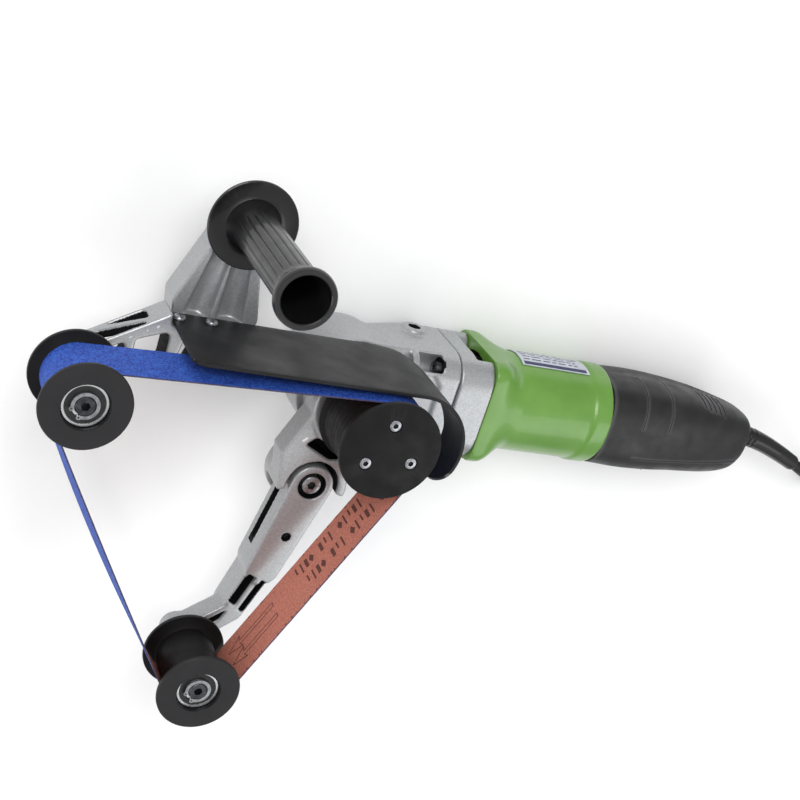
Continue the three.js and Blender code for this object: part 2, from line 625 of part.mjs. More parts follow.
function armFrame() {
  const hub = rod(34, 22, 'z', [0, 0, 72], 24);
  const lug = block([32, -8, 78], [CLAMP_X + 6, 8, 91.8]).rotate([0, 0, CLAMP_TURN]);
  const beam = raised(polygon([
    [0, 34.4], [-136.5, 34.4], [-137.5, 43], [-148, 36], [-186, 12], [-190, -4], [-150, 1], [-30, 1],
    [0, -10],
  ]), POST_FRONT - 6, BEAM_FRONT);
  const idlerBoss = rod(12, 97 - ARM_BACK, 'z', [UPPER.x, UPPER.y, ARM_BACK], 18);
  const post = raised(polygon([
    [-135, 46], [-131, 20], [-80, 20], [-77, 40], [-85, 78], [-87, 112], [-100, 118], [-113, 112],
    [-119, 86],
  ]), 40, POST_FRONT);
  const handleBoss = rod(14, BOSS_FRONT - 40, 'z', [GRIP.x, GRIP.y, 40], 20);
  const hoodPlate = rod(24.5, 6, 'z', [PIVOT.x, PIVOT.y, 58], 24);
  const hoodWall = cut(
    rod(24.5, ARM_FRONT - 60, 'z', [PIVOT.x, PIVOT.y, 60], 24),
    rod(18.6, 40, 'z', [PIVOT.x, PIVOT.y, 64], 24),
    raised(polygon([
      [PIVOT.x, PIVOT.y], [PIVOT.x - 60, PIVOT.y - 14], [PIVOT.x - 40, PIVOT.y - 60],
      [PIVOT.x + 40, PIVOT.y - 60], [PIVOT.x + 60, PIVOT.y - 14],
    ]), 64, 100),
  );
  const bracket = raised(polygon([
    [-32, -5], [-46, -38], [-42, -62], [-30, -62], [2, -58], [12, -35],
  ]), 72, ARM_FRONT);
  let body = join(hub, lug, beam, idlerBoss, post, handleBoss, hoodPlate, hoodWall, bracket);
  const windows = [
    [[-176, 11], [-163, 19], [-160, 6], [-174, 5]],
    [[-156, 22], [-139, 29], [-136, 28], [-136, 6], [-156, 6]],
    [[-126, 28], [-114, 28], [-120, 6], [-130, 6]],
    [[-102, 28], [-74, 28], [-84, 6], [-112, 6]],
    [[-68, 28], [-44, 28], [-44, 8], [-52, 6], [-78, 6]],
  ].map(points => raised(polygon(points), POST_FRONT - 7, ARM_FRONT + 1));
  body = cut(
    body,
    ...windows,
    raised(headOutline(HEAD_HALF + 1), -1, HEAD_FRONT + 2, 12),
    rod(34, 80, 'z', [0, 0, -8.5], 20),
    block([HEAD_STEP - 2, -60, -1], [80, 60, HEAD_TOP + 2]),
    rod(25 + GAP, 40, 'z', [0, 0, 70], 24),
    rod(18.6, 40, 'z', [PIVOT.x, PIVOT.y, 64], 24),
    rod(4.3, 12, 'z', [PIVOT.x, PIVOT.y, 56], 16),
    rod(5.1, 40, 'z', [UPPER.x, UPPER.y, 64], 16),
    rod(5.1, 24, 'z', [GRIP.x, GRIP.y, 47], 16),
    ...GUARD_SCREWS.map(x => rod(2.3, 8, 'y', [x, 28.5, 76], 12)),
  );
  const split = block([20, -0.8, 70], [CLAMP_X + 7, 0.8, 95]);
  const clampHole = rod(2.3, 20, 'y', [CLAMP_X, -10, 86.3], 12);
  return cut(body, join(split, clampHole).rotate([0, 0, CLAMP_TURN]));
}

add('arm_frame', armFrame(), CAST);

const clampBolt = screw(2, 3.8, 4, 15, 1.5).rotate([-90, 0, 0]).translate([CLAMP_X, 12.3, 86.3]);
add('clamp_bolt', clampBolt.rotate([0, 0, CLAMP_TURN]), STEEL);

// ---- Guard --------------------------------------------------------------------------------------

const GUARD_CURL = new THREE.Vector2(17, 0);

function guard() {
  const bottom = GUARD_TOP - GUARD_SHEET;
  const end = -THREE.MathUtils.degToRad(45);
  const shape = new THREE.Shape();
  shape.moveTo(-135, GUARD_TOP);
  shape.absarc(GUARD_CURL.x, GUARD_CURL.y, GUARD_TOP, Math.PI / 2, end, true);
  shape.absarc(GUARD_CURL.x, GUARD_CURL.y, bottom, end, Math.PI / 2, false);
  shape.lineTo(-135, bottom);
  let body = raised(shape, 66, 141, 20);
  const corner = raised(polygon([
    [-30, -40], [90, -40], [90, 112], [54, 112], [50, 107], [41, 95], [30, 79], [17, 68], [0, 64.5],
  ]), -60, 60);
  body = cut(
    body,
    corner.rotate([90, 0, 0]),
    ...GUARD_SCREWS.map(x => rod(2.3, 6, 'y', [x, 33, 76], 12)),
  );
  return body;
}

add('belt_guard', guard(), GUARD);
GUARD_SCREWS.forEach((x, i) => {
  add(`guard_screw_${i + 1}`, screw(2, 4, 2.6, 8.2, 1.5), STEEL, [x, GUARD_TOP + GAP + 2.6, 76], [-Math.PI / 2, 0, 0]);
});

// ---- Side handle --------------------------------------------------------------------------------

const HANDLE_END = 193;

const gripBody = turned([
  [0, BOSS_FRONT + GAP], [13, BOSS_FRONT + GAP], [26, 71.6], [29, 74], [28.6, 75], [17, 74.4],
  [15, 80], [14, 86], [14.2, 180], [18.5, 188], [18.5, HANDLE_END], [14.4, HANDLE_END],
  [13.8, 187], [10.5, 181], [10.5, 100], [0, 100],
], 'z', [GRIP.x, GRIP.y, 0], 24);
add('side_handle', join(gripBody, rod(4.8, 48, 'z', [GRIP.x, GRIP.y, 50], 14)), BLACK);

// ---- Swing arm ----------------------------------------------------------------------------------

const BEND = new THREE.Vector2(-34, -127);
const ELBOW = new THREE.Vector2(-46, -163);

function swingArm() {
  const knuckle = rod(15, ARM_FRONT - ARM_BACK, 'z', [PIVOT.x, PIVOT.y, ARM_BACK], 24);
  const upper = raised(link(PIVOT, 15, BEND, 12), ARM_BACK, ARM_FRONT);
  const lower = raised(link(BEND, 9.5, ELBOW, 8), ARM_BACK, ARM_FRONT - 2);
  const end = raised(link(ELBOW, 8, LOWER, 9), ARM_BACK + 6, ARM_FRONT - 2);
  const boss = rod(11, 97 - 70, 'z', [LOWER.x, LOWER.y, 70], 18);
  const hollow = raised(link(new THREE.Vector2(-24, -92), 9.5, BEND, 8), ARM_BACK - 1, 86);
  return cut(
    join(knuckle, upper, lower, end, boss),
    hollow,
    rod(9.8, 10, 'z', [PIVOT.x, PIVOT.y, 84], 18),
    rod(6.8, 30, 'z', [PIVOT.x, PIVOT.y, 60], 18),
    ring(8.4, 13.2, 16, 'z', [PIVOT.x, PIVOT.y, 65], 20),
    rod(3.2, 12, 'z', [-25.2, -100, 82], 16),
    rod(5.1, 40, 'z', [LOWER.x, LOWER.y, 65], 16),
    raised(polygon([[-45, -88], [-34, -90], [-40, -118], [-52, -114]]), 72, 82),
    raised(polygon([[-41, -134], [-37, -135], [-46, -157], [-49, -155]]), 80, 93),
    raised(polygon([[-32, -137], [-28.5, -138], [-38.5, -162], [-41, -160]]), 80, 93),
    raised(polygon([[-51, -163], [-54, -169], [-67, -179], [-66, -175]]), 80, 93),
  );
}

add('swing_arm', swingArm(), CAST);

const pivot = [PIVOT.x, PIVOT.y, 0];
add('pivot_bush', ring(4.3, 6.5, 18, 'z', [...pivot.slice(0, 2), 65.8], 18), BRONZE);
add('pivot_bolt', screw(4, 6.5, 5, 27.5, 2.6), DARK_STEEL, [...pivot.slice(0, 2), 90.6]);

class SpringPath extends THREE.Curve {
  getPoint(t, target = new THREE.Vector3()) {
    const angle = t * 3.25 * 2 * Math.PI;
    return target.set(10.8 * Math.cos(angle), 10.8 * Math.sin(angle), 68 + 10.5 * t);
  }
}

function spring() {
  const section = new THREE.Shape();
  section.absarc(0, 0, 1, 0, 2 * Math.PI, false);
  const coil = new THREE.ExtrudeGeometry(section, {
    steps: 36, curveSegments: 2, bevelEnabled: false, extrudePath: new SpringPath(),
  });
  return solid(coil.translate(PIVOT.x, PIVOT.y, 0));
}

add('tension_spring', spring(), DARK_STEEL);

// ---- Belt ---------------------------------------------------------------------------------------

const BOW_TOP = THREE.MathUtils.degToRad(7);
const BOW_END = THREE.MathUtils.degToRad(2);

function onCircle(wheel, angle) {
  return new THREE.Vector2(wheel.radius, 0).rotateAround(new THREE.Vector2(), angle).add(wheel.at);
}

// The loop round the three rollers at a distance outside their cores.
function beltLoop(offset) {
  const wheels = [
    { at: new THREE.Vector2(0, 0), radius: DRIVE_RADIUS + offset },
    { at: UPPER, radius: IDLER_RADIUS + offset },
    { at: LOWER, radius: IDLER_RADIUS + offset },
  ];
  const leave = wheels.map((wheel, i) => {
    const next = wheels[(i + 1) % wheels.length];
    const way = Math.atan2(next.at.y - wheel.at.y, next.at.x - wheel.at.x);
    return way - Math.acos((wheel.radius - next.radius) / wheel.at.distanceTo(next.at));
  });
  // The free run between the idlers bows outwards, because a belt is stiff: it leaves the upper
  // idler early and meets the lower one late.
  const bow = [0, BOW_TOP, 0];
  const late = [0, 0, BOW_END];
  const path = new THREE.Path();
  wheels.forEach((wheel, i) => {
    const arrive = leave[(i + wheels.length - 1) % wheels.length] + late[i];
    const go = leave[i] - bow[i];
    path.absarc(wheel.at.x, wheel.at.y, wheel.radius, arrive, go, false);
    if (bow[i] > 0) {
      const next = wheels[i + 1];
      const end = leave[i] + late[i + 1];
      const handle = wheel.at.distanceTo(next.at) / 3;
      const from = onCircle(wheel, go);
      const to = onCircle(next, end);
      path.bezierCurveTo(
        from.x - handle * Math.sin(go), from.y + handle * Math.cos(go),
        to.x + handle * Math.sin(end), to.y - handle * Math.cos(end), to.x, to.y,
      );
    }
  });
  return path;
}

function belt() {
  const points = offset => beltLoop(offset).getPoints(8);
  const shape = new THREE.Shape(points(GAP + BELT_THICKNESS));
  shape.holes.push(new THREE.Path(points(GAP)));
  return raised(shape, BELT_BACK, BELT_BACK + BELT_WIDTH);
}

add('abrasive_belt', belt(), BELT);

// ---- Mains cord ---------------------------------------------------------------------------------

const BOOT_PATH = new THREE.CatmullRomCurve3([
  new THREE.Vector3(TAIL_END + 1.4, 0.3, MOTOR_Z), new THREE.Vector3(352, -0.6, MOTOR_Z),
  new THREE.Vector3(368, -4.6, MOTOR_Z), new THREE.Vector3(386, -10.8, MOTOR_Z),
  new THREE.Vector3(403, -17.5, MOTOR_Z - 0.3),
]);

// A round bar along a path whose radius changes evenly from one end to the other.
function taperedBar(path, radii, steps, sides) {
  const frames = path.computeFrenetFrames(steps, false);
  const vertices = [];
  for (let i = 0; i <= steps; i += 1) {
    const centre = path.getPointAt(i / steps);
    const radius = THREE.MathUtils.lerp(radii[0], radii[1], i / steps);
    for (let j = 0; j < sides; j += 1) {
      const angle = 2 * Math.PI * j / sides;
      const point = centre.clone()
        .addScaledVector(frames.normals[i], radius * Math.cos(angle))
        .addScaledVector(frames.binormals[i], radius * Math.sin(angle));
      vertices.push(...point.toArray());
    }
  }
  const faces = [];
  for (let i = 0; i < steps; i += 1) {
    for (let j = 0; j < sides; j += 1) {
      const a = i * sides + j;
      const b = i * sides + (j + 1) % sides;
      faces.push(a, b, a + sides, b, b + sides, a + sides);
    }
  }
  for (let j = 1; j < sides - 1; j += 1) {
    faces.push(0, j + 1, j);
    faces.push(steps * sides, steps * sides + j, steps * sides + j + 1);
  }
  const geometry = new THREE.BufferGeometry();
  geometry.setAttribute('position', new THREE.Float32BufferAttribute(vertices, 3));
  geometry.setIndex(faces);
  return solid(geometry);
}

add('strain_relief', join(
  taperedBar(BOOT_PATH, [8.6, 6.3], 9, 12),
  rod(6.6, 15, 'x', [TAIL_END - 11, 0, MOTOR_Z], 16),
), BLACK);

function cordTube(points, steps) {
  const path = new THREE.CatmullRomCurve3(points.map(point => new THREE.Vector3(...point)));
  const section = new THREE.Shape();
  section.absarc(0, 0, CORD_RADIUS, 0, 2 * Math.PI, false);
  return solid(new THREE.ExtrudeGeometry(section, {
    steps, curveSegments: 5, bevelEnabled: false, extrudePath: path,
  }));
}

// The cord drops from the boot to the floor along one heading and meets the coil's outer turn.
const CORD_ROUTE = [
  [403.4, -17.7, 37.6], [412.5, -21.8, 36.6], [421.6, -26, 33.6], [430.7, -30.1, 28.1],
  [438, -33.4, 21.1], [445.3, -36.8, 14.1], [454.4, -40.9, 8.6], [463.5, -45.1, 5.6], [472.6, -49.2, 4.6],
];

add('power_cord', cordTube(CORD_ROUTE, 12), BLACK);

const COIL_HALF = COIL_ACROSS * CORD_RADIUS;
add('cord_coil', ring(
  COIL_MEAN - COIL_HALF, COIL_MEAN + COIL_HALF, COIL_HALF * 2, 'z', [COIL_CENTRE.x, COIL_CENTRE.y, 0], 36,
), BLACK);

// The plug points back along -X; heights in its profile run from the cord to the plug's face.
const PLUG_Y = 48.5;
const PLUG_Z = 17.3;
const PLUG_START = 491;
const PLUG_LENGTH = 36;

add('plug_body', turned([
  [0, 0], [6.5, 0], [7, 9], [13, 17], [16.8, 24], [17, PLUG_LENGTH], [0, PLUG_LENGTH],
], 'z', [0, 0, 0], 18), BLACK, [PLUG_START, PLUG_Y, PLUG_Z], [0, -Math.PI / 2, 0]);
[-1, 1].forEach((side, i) => {
  const at = [PLUG_START - PLUG_LENGTH - GAP, PLUG_Y + side * 9.5, PLUG_Z];
  add(`plug_pin_${i + 1}`, rod(2.4, 19, 'z', [0, 0, 0], 16), STEEL, at, [0, -Math.PI / 2, 0]);
});

export default tool;
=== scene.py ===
# Looks of the handheld pipe belt sander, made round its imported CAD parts.
# Pieces are made in millimetres in the CAD's own frame and brought to metres when they are placed.
import random
from math import acos, atan2, ceil, cos, degrees, hypot, pi, radians, sin, sqrt

import bmesh
import bpy
from mathutils import Matrix, Vector


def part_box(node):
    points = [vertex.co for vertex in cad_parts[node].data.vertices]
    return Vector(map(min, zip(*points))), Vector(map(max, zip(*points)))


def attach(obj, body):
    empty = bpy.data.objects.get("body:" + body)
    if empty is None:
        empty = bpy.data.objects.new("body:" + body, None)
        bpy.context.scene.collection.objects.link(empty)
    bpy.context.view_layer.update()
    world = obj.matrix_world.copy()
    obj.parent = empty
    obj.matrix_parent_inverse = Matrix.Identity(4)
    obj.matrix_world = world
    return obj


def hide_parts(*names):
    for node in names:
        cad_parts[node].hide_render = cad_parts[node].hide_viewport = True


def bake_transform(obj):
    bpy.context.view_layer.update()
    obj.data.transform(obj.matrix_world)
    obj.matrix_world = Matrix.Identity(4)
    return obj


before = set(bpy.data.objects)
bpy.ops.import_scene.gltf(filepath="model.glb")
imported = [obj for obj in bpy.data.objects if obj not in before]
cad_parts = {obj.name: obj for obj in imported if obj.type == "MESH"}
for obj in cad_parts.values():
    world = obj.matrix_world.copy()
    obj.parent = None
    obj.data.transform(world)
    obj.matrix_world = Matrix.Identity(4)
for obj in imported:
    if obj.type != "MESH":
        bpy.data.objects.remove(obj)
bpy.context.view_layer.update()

BODY = "sander_body"
MM = 0.001
scene = bpy.context.scene

# ---- Measures taken from the frame ----


def box(node):
    low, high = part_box(node)
    return low / MM, high / MM


def centre(node):
    low, high = box(node)
    return (low + high) / 2


def wide(node):
    low, high = box(node)
    return high.x - low.x


GAP = 0.3
UPPER = centre("upper_idler_roller").xy
LOWER = centre("lower_idler_roller").xy
PIVOT = centre("pivot_bolt").xy
GRIP = centre("side_handle").xy
ROLLER_BACK = box("upper_idler_roller")[0].z
BELT_BACK, BELT_FRONT = (corner.z for corner in box("abrasive_belt"))
BELT_WIDTH = BELT_FRONT - BELT_BACK
DRIVE_RADIUS = 30
IDLER_RADIUS = 19.5
IDLER_FLANGE = wide("upper_idler_roller") / 2
DISC_RADIUS = wide("drive_disc") / 2
AXLE_RADIUS = 6
BEARING_SEAT = 14.3
NOSE_RADIUS = 25
STUD_HOLE = 5.1
MOTOR_Z = centre("armature").z
HEAD_HALF = 38
HEAD_CORNER = 20
HEAD_TOP = box("gear_housing")[1].z
HEAD_FRONT = 64
HEAD_STEP = 35
HEAD_END = box("gear_housing")[1].x
COLLAR_START, BARREL_END = (corner.x for corner in box("motor_housing"))
FLARE_END = 126
BARREL_RADIUS = 35.5
TAIL_END = box("tail_shell_front")[1].x
GUARD_TOP = box("belt_guard")[1].y
GUARD_SHEET = 2.2
GUARD_BACK, GUARD_FRONT = (corner.z for corner in box("belt_guard"))
ARM_BACK, ARM_FRONT = 66, 92
HANDLE_END = box("side_handle")[1].z
BOLT_HOLE = 2.8
CORNER_SCREW = 27
CORNER_SIGNS = [(1, 1), (-1, 1), (-1, -1), (1, -1)]
CORNERS = [(sy * CORNER_SCREW, MOTOR_Z + sz * CORNER_SCREW) for sy, sz in CORNER_SIGNS]

# ---- Solids ----


def linked(name, data):
    obj = bpy.data.objects.new(name, data)
    scene.collection.objects.link(obj)
    return obj


def solid(vertices, faces):
    mesh = bpy.data.meshes.new("solid")
    mesh.from_pydata([tuple(v) for v in vertices], [], [tuple(f) for f in faces])
    shape = bmesh.new()
    shape.from_mesh(mesh)
    bmesh.ops.remove_doubles(shape, verts=shape.verts, dist=1e-5)
    bmesh.ops.recalc_face_normals(shape, faces=shape.faces)
    shape.to_mesh(mesh)
    shape.free()
    return linked("solid", mesh)


# Where a point (a, b) at height c goes, in a shape that is made along each axis.
AXES = {
    "z": lambda a, b, c: (a, b, c),
    "x": lambda a, b, c: (c, a, b),
    "y": lambda a, b, c: (b, c, a),
}


def block(low, high):
    corners = [(x, y, z) for z in (low[2], high[2]) for y in (low[1], high[1]) for x in (low[0], high[0])]
    faces = [(0, 1, 3, 2), (4, 6, 7, 5), (0, 4, 5, 1), (2, 3, 7, 6), (0, 2, 6, 4), (1, 5, 7, 3)]
    return solid(corners, faces)


def prism(outline, low, high, axis="z"):
    """An outline across an axis, raised along it. Across X it is (y, z), and across Y (z, x)."""
    return loft([[AXES[axis](a, b, c) for a, b in outline] for c in (low, high)])


def around(count):
    return [2 * pi * i / count for i in range(count)]


def lathe(profile, at=(0, 0, 0), axis="z", segments=72, wave=None):
    """A profile of (radius, height) turned about an axis. wave(angle, height, radius) adds to a radius."""
    to_axes = AXES[axis]
    closed = profile[0][0] > 0 and profile[-1][0] > 0
    vertices, rings = [], []
    for radius, height in profile:
        if radius == 0:
            rings.append([len(vertices)] * segments)
            vertices.append(Vector(to_axes(0, 0, height)) + Vector(at))
            continue
        rings.append(list(range(len(vertices), len(vertices) + segments)))
        for angle in around(segments):
            r = radius + (wave(angle, height, radius) if wave else 0)
            vertices.append(Vector(to_axes(r * cos(angle), r * sin(angle), height)) + Vector(at))
    faces = []
    for k in range(len(rings) if closed else len(rings) - 1):
        a, b = rings[k], rings[(k + 1) % len(rings)]
        for i in range(segments):
            j = (i + 1) % segments
            face = list(dict.fromkeys([a[i], a[j], b[j], b[i]]))
            if len(face) > 2:
                faces.append(face)
    return solid(vertices, faces)


def mirrored(half, width):
    """Half the profile of a turned part with the other half added, up to its full width."""
    return half + [(radius, width - height) for radius, height in reversed(half)]


def rod(radius, at, length, axis="z", segments=40, end_radius=None):
    end = radius if end_radius is None else end_radius
    return lathe([(0, 0), (radius, 0), (end, length), (0, length)], at, axis, segments)


def upright(radius, at, low, high, segments=40):
    """A rod that stands at a point of the XY plane."""
    return rod(radius, (at[0], at[1], low), high - low, segments=segments)


def motor_rod(radius, start, end, segments=40):
    """A rod on the motor's axis."""
    return rod(radius, (start, 0, MOTOR_Z), end - start, "x", segments)


def corner_rods(radius, start, end, segments):
    """A rod on the axis of each of the four corner screws."""
    return [rod(radius, (start, y, z), end - start, "x", segments) for y, z in CORNERS]


def long_rod(a, b, radius, end_radius):
    """A tapered bar between two points."""
    way = Vector(b) - Vector(a)
    bar = rod(radius, (0, 0, 0), way.length, end_radius=end_radius)
    bar.data.transform(Matrix.Translation(a) @ way.to_track_quat("Z", "Y").to_matrix().to_4x4())
    return bar


def loft(rings):
    """Closed rings of the same number of points, joined in order, with both ends capped."""
    count = len(rings[0])
    vertices = [p for ring in rings for p in ring]
    faces = [tuple(range(count)), tuple(range(len(vertices) - count, len(vertices)))]
    for start in range(0, len(vertices) - count, count):
        for i in range(count):
            a, b = start + i, start + (i + 1) % count
            faces.append((a, b, b + count, a + count))
    return solid(vertices, faces)


def sheet(grids, closed):
    """A closed sheet between two grids of points, each a list of columns. Gives its vertices, its
    faces, and for each face the number of its grid, or 2 at an edge."""
    columns, count = len(grids[0]), len(grids[0][0])
    vertices = [point for grid in grids for column in grid for point in column]
    half = columns * count
    faces, sides = [], []
    for i in range(columns if closed else columns - 1):
        a, b = i * count, (i + 1) % columns * count
        for j in range(count - 1):
            faces.append((a + j, b + j, b + j + 1, a + j + 1))
            faces.append((half + a + j, half + a + j + 1, half + b + j + 1, half + b + j))
            sides += [0, 1]
        for j in (0, count - 1):
            faces.append((a + j, half + a + j, half + b + j, b + j))
            sides.append(2)
    ends = () if closed else (0, half - count)
    for a in ends:
        for j in range(a, a + count - 1):
            faces.append((j, j + 1, half + j + 1, half + j))
            sides.append(2)
    return vertices, faces, sides


def settle(obj):
    """Replaces an object's mesh by what its modifiers make of it."""
    graph = bpy.context.evaluated_depsgraph_get()
    made = bpy.data.meshes.new_from_object(obj.evaluated_get(graph), depsgraph=graph)
    obj.modifiers.clear()
    obj.data = made
    return obj


def combine(base, tools, operation):
    """Changes the base in place and uses the tools up."""
    for tool in tools:
        step = base.modifiers.new("step", "BOOLEAN")
        step.solver = "MANIFOLD"
        step.operation = operation
        step.object = tool
    settle(base)
    for tool in tools:
        bpy.data.objects.remove(tool)
    return base


def fuse(base, *tools):
    return combine(base, tools, "UNION")


def carve(base, *tools):
    return combine(base, tools, "DIFFERENCE")


def common(base, *tools):
    return combine(base, tools, "INTERSECT")


def turn(obj, angle, axis="Z"):
    obj.data.transform(Matrix.Rotation(radians(angle), 4, axis))
    return obj


def shift(obj, *by):
    obj.data.transform(Matrix.Translation(by))
    return obj


def soften(obj, voxel, rounds):
    """Rebuilds the surface at one fineness and relaxes it, which rounds the edges as in a casting."""
    step = obj.modifiers.new("even", "REMESH")
    step.mode = "VOXEL"
    step.voxel_size = voxel
    relax = obj.modifiers.new("relax", "SMOOTH")
    relax.factor = 0.5
    relax.iterations = rounds
    return settle(obj)


def round_edges(obj, width, segments=2, angle=35):
    step = obj.modifiers.new("edge", "BEVEL")
    step.width = width
    step.segments = segments
    step.limit_method = "ANGLE"
    step.angle_limit = radians(angle)
    step.use_clamp_overlap = True
    return settle(obj)


def circle(middle, radius, count=48, start=0, end=360):
    """Points round a whole circle, or along an arc with both its ends."""
    steps = count if abs(end - start) >= 360 else count - 1
    turned = [radians(start + (end - start) * i / steps) for i in range(count)]
    return [(middle[0] + radius * cos(angle), middle[1] + radius * sin(angle)) for angle in turned]


def link(a, radius_a, b, radius_b, count=24):
    """The outline round two circles and the straight lines that touch both."""
    a, b = Vector(a), Vector(b)
    way = atan2(b.y - a.y, b.x - a.x)
    lean = acos((radius_a - radius_b) / (b - a).length)
    first = circle(a, radius_a, count, degrees(way + lean), degrees(way - lean) + 360)
    return first + circle(b, radius_b, count, degrees(way - lean), degrees(way + lean))


def rounded_square(half, corner, count=10):
    flat = half - corner
    middles = [(flat, flat), (-flat, flat), (-flat, -flat), (flat, -flat)]
    return [p for k, m in enumerate(middles) for p in circle(m, corner, count, 90 * k, 90 * k + 90)]


def square_along_x(half, corner, start, end):
    outline = [(y, z + MOTOR_Z) for y, z in rounded_square(half, corner)]
    return prism(outline, start, end, "x")


def head_outline(half):
    """The gear head seen from the front: half a circle and a square end."""
    return circle((0, 0), half, 60, 90, 270) + [(HEAD_END, -half), (HEAD_END, half)]


def catmull(points, steps):
    """A smooth curve through points, with the same number of steps between each two."""
    knots = [Vector(p) for p in points]
    knots = [2 * knots[0] - knots[1], *knots, 2 * knots[-1] - knots[-2]]
    made = []
    for a, b, c, d in zip(knots, knots[1:], knots[2:], knots[3:]):
        for t in (i / steps for i in range(steps)):
            square, cube = 2 * a - 5 * b + 4 * c - d, 3 * b - a - 3 * c + d
            made.append(0.5 * (2 * b + (c - a) * t + square * t**2 + cube * t**3))
    return [*made, knots[-2]]


def ease(t):
    """Goes from 0 to 1 with a soft start and end."""
    t = min(1, max(0, t))
    return t * t * (3 - 2 * t)


# ---- Dressing and placing ----


def dress(obj, looks, choose=lambda face: 0):
    """Gives each face one of the looks, by the number that choose(face) returns."""
    obj.data.materials.clear()
    for look in looks:
        obj.data.materials.append(look)
    for face in obj.data.polygons:
        face.material_index = int(choose(face))
    return obj


def dark_socket(obj, look, radius, top, bottom=-100):
    """Darkens the faces near the Z axis, between two heights: painted shade inside a screw's socket."""
    return dress(obj, [look, SHIELD_AND_SOCKET_SHADE], lambda face: bottom < face.center.z < top
                 and hypot(face.center.x, face.center.y) < radius)


def dark_where(obj, inside):
    """Cast metal, near black on the faces that lie deep in a recess: painted shade."""
    return dress(obj, [CAST, SHADE], lambda face: inside(*face.center))


def add_marks(base, marks, looks):
    """Joins thin marks to a piece, in the last of its looks."""
    for mark in marks:
        dress(mark, looks, lambda face: len(looks) - 1)
    with bpy.context.temp_override(active_object=base, selected_editable_objects=[base, *marks]):
        bpy.ops.object.join()


def place(obj, name, node, look, body=BODY, sharp=38):
    """Names a finished piece, brings it to metres, shades it and puts it on its body.
    A piece that is already dressed comes without a look."""
    obj.name = name
    obj.data.name = name
    obj.data.transform(Matrix.Scale(MM, 4))
    if look:
        dress(obj, [look])
    obj.data.shade_smooth()
    obj.data.set_sharp_from_angle(angle=radians(sharp))
    if node:
        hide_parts(node)
    if body:
        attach(obj, body)
    return obj


# ---- Camera, light and floor ----

CAMERA_AT = (-0.3886, 0.3593, 0.9147)
CAMERA_FORWARD = (0.419, -0.354, -0.8361)
CAMERA_UP = (-0.1299, 0.888, -0.4411)
LIT_POINT = (0.05, -0.03, 0.06)
FLOOR_HALF, FLOOR_Z = 8, -0.0004         # in metres


def make_camera():
    camera = linked("camera", bpy.data.cameras.new("camera"))
    forward = Vector(CAMERA_FORWARD).normalized()
    right = forward.cross(Vector(CAMERA_UP)).normalized()
    axes = Matrix((right, right.cross(forward), -forward)).transposed()
    camera.matrix_world = Matrix.Translation(CAMERA_AT) @ axes.to_4x4()
    camera.data.sensor_width = 36
    camera.data.lens = 67.2
    camera.data.clip_start = 0.01
    scene.camera = camera


def area_light(name, at, size, power):
    light = linked(name, bpy.data.lights.new(name, "AREA"))
    light.data.shape = "RECTANGLE"
    light.data.size, light.data.size_y = size
    light.data.energy = power
    light.location = at
    light.rotation_mode = "QUATERNION"
    light.rotation_quaternion = (Vector(LIT_POINT) - Vector(at)).to_track_quat("-Z", "Y")


def make_studio():
    world = bpy.data.worlds.new("studio")
    world.use_nodes = True
    scene.world = world
    tree = world.node_tree
    # A pale room whose ceiling is brighter than its walls.
    coords = add_node(tree, "ShaderNodeTexCoord")
    split = add_node(tree, "ShaderNodeSeparateXYZ", {0: coords.outputs["Generated"]})
    pale = ramp_between(tree, split.outputs["Z"], (0.5, 0.5, 0.51), (1, 1, 1), 0.1, 0.75)
    set_inputs(tree, tree.nodes["Background"], {"Color": pale, "Strength": 0.72})
    area_light("key", (-0.5, 0.9, 1.5), (0.9, 0.9), 17)
    area_light("fill", (0.9, -0.5, 1.1), (1.2, 0.6), 5)
    area_light("side", (-1.2, -0.6, 0.7), (0.6, 1.0), 4)
    scene.view_settings.view_transform = "Standard"
    floor = linked("floor", bpy.data.meshes.new("floor"))
    corners = [(FLOOR_HALF * sx, FLOOR_HALF * sy, FLOOR_Z) for sx, sy in ((-1, -1), (1, -1), (1, 1), (-1, 1))]
    floor.data.from_pydata(corners, [], [(0, 1, 2, 3)])
    floor.data.materials.append(paint("floor_paint", (0.93, 0.93, 0.93), (0.95, 0.95, 0.95), 40, 0.9))


# ---- Materials ----


def rgb(red, green, blue):
    """A colour from its 0 to 255 screen values."""
    shares = (red / 255, green / 255, blue / 255)
    return tuple(v / 12.92 if v < 0.0404 else ((v + 0.055) / 1.055) ** 2.4 for v in shares)


def set_inputs(tree, node, inputs):
    """Sets a node's inputs to values, or links them where they are given another node's output."""
    for key, value in inputs.items():
        if isinstance(value, bpy.types.NodeSocket):
            tree.links.new(value, node.inputs[key])
        else:
            node.inputs[key].default_value = value


def add_node(tree, kind, inputs=None, **settings):
    node = tree.nodes.new(kind)
    for key, value in settings.items():
        setattr(node, key, value)
    set_inputs(tree, node, inputs or {})
    return node


def new_look(name, roughness, metallic=0.0):
    look = bpy.data.materials.new(name)
    look.use_nodes = True
    shader = look.node_tree.nodes["Principled BSDF"]
    set_inputs(look.node_tree, shader, {"Roughness": roughness, "Metallic": metallic})
    return look, look.node_tree, shader


def noise(tree, size, detail=3.0, stretch=(1, 1, 1)):
    """Noise whose patches measure about size millimetres, made in the piece's own coordinates."""
    coords = add_node(tree, "ShaderNodeTexCoord")
    mapping = add_node(tree, "ShaderNodeMapping", {"Vector": coords.outputs["Object"], "Scale": stretch})
    return add_node(tree, "ShaderNodeTexNoise", {
        "Vector": mapping.outputs[0], "Scale": 1 / (size * MM), "Detail": detail}).outputs[0]


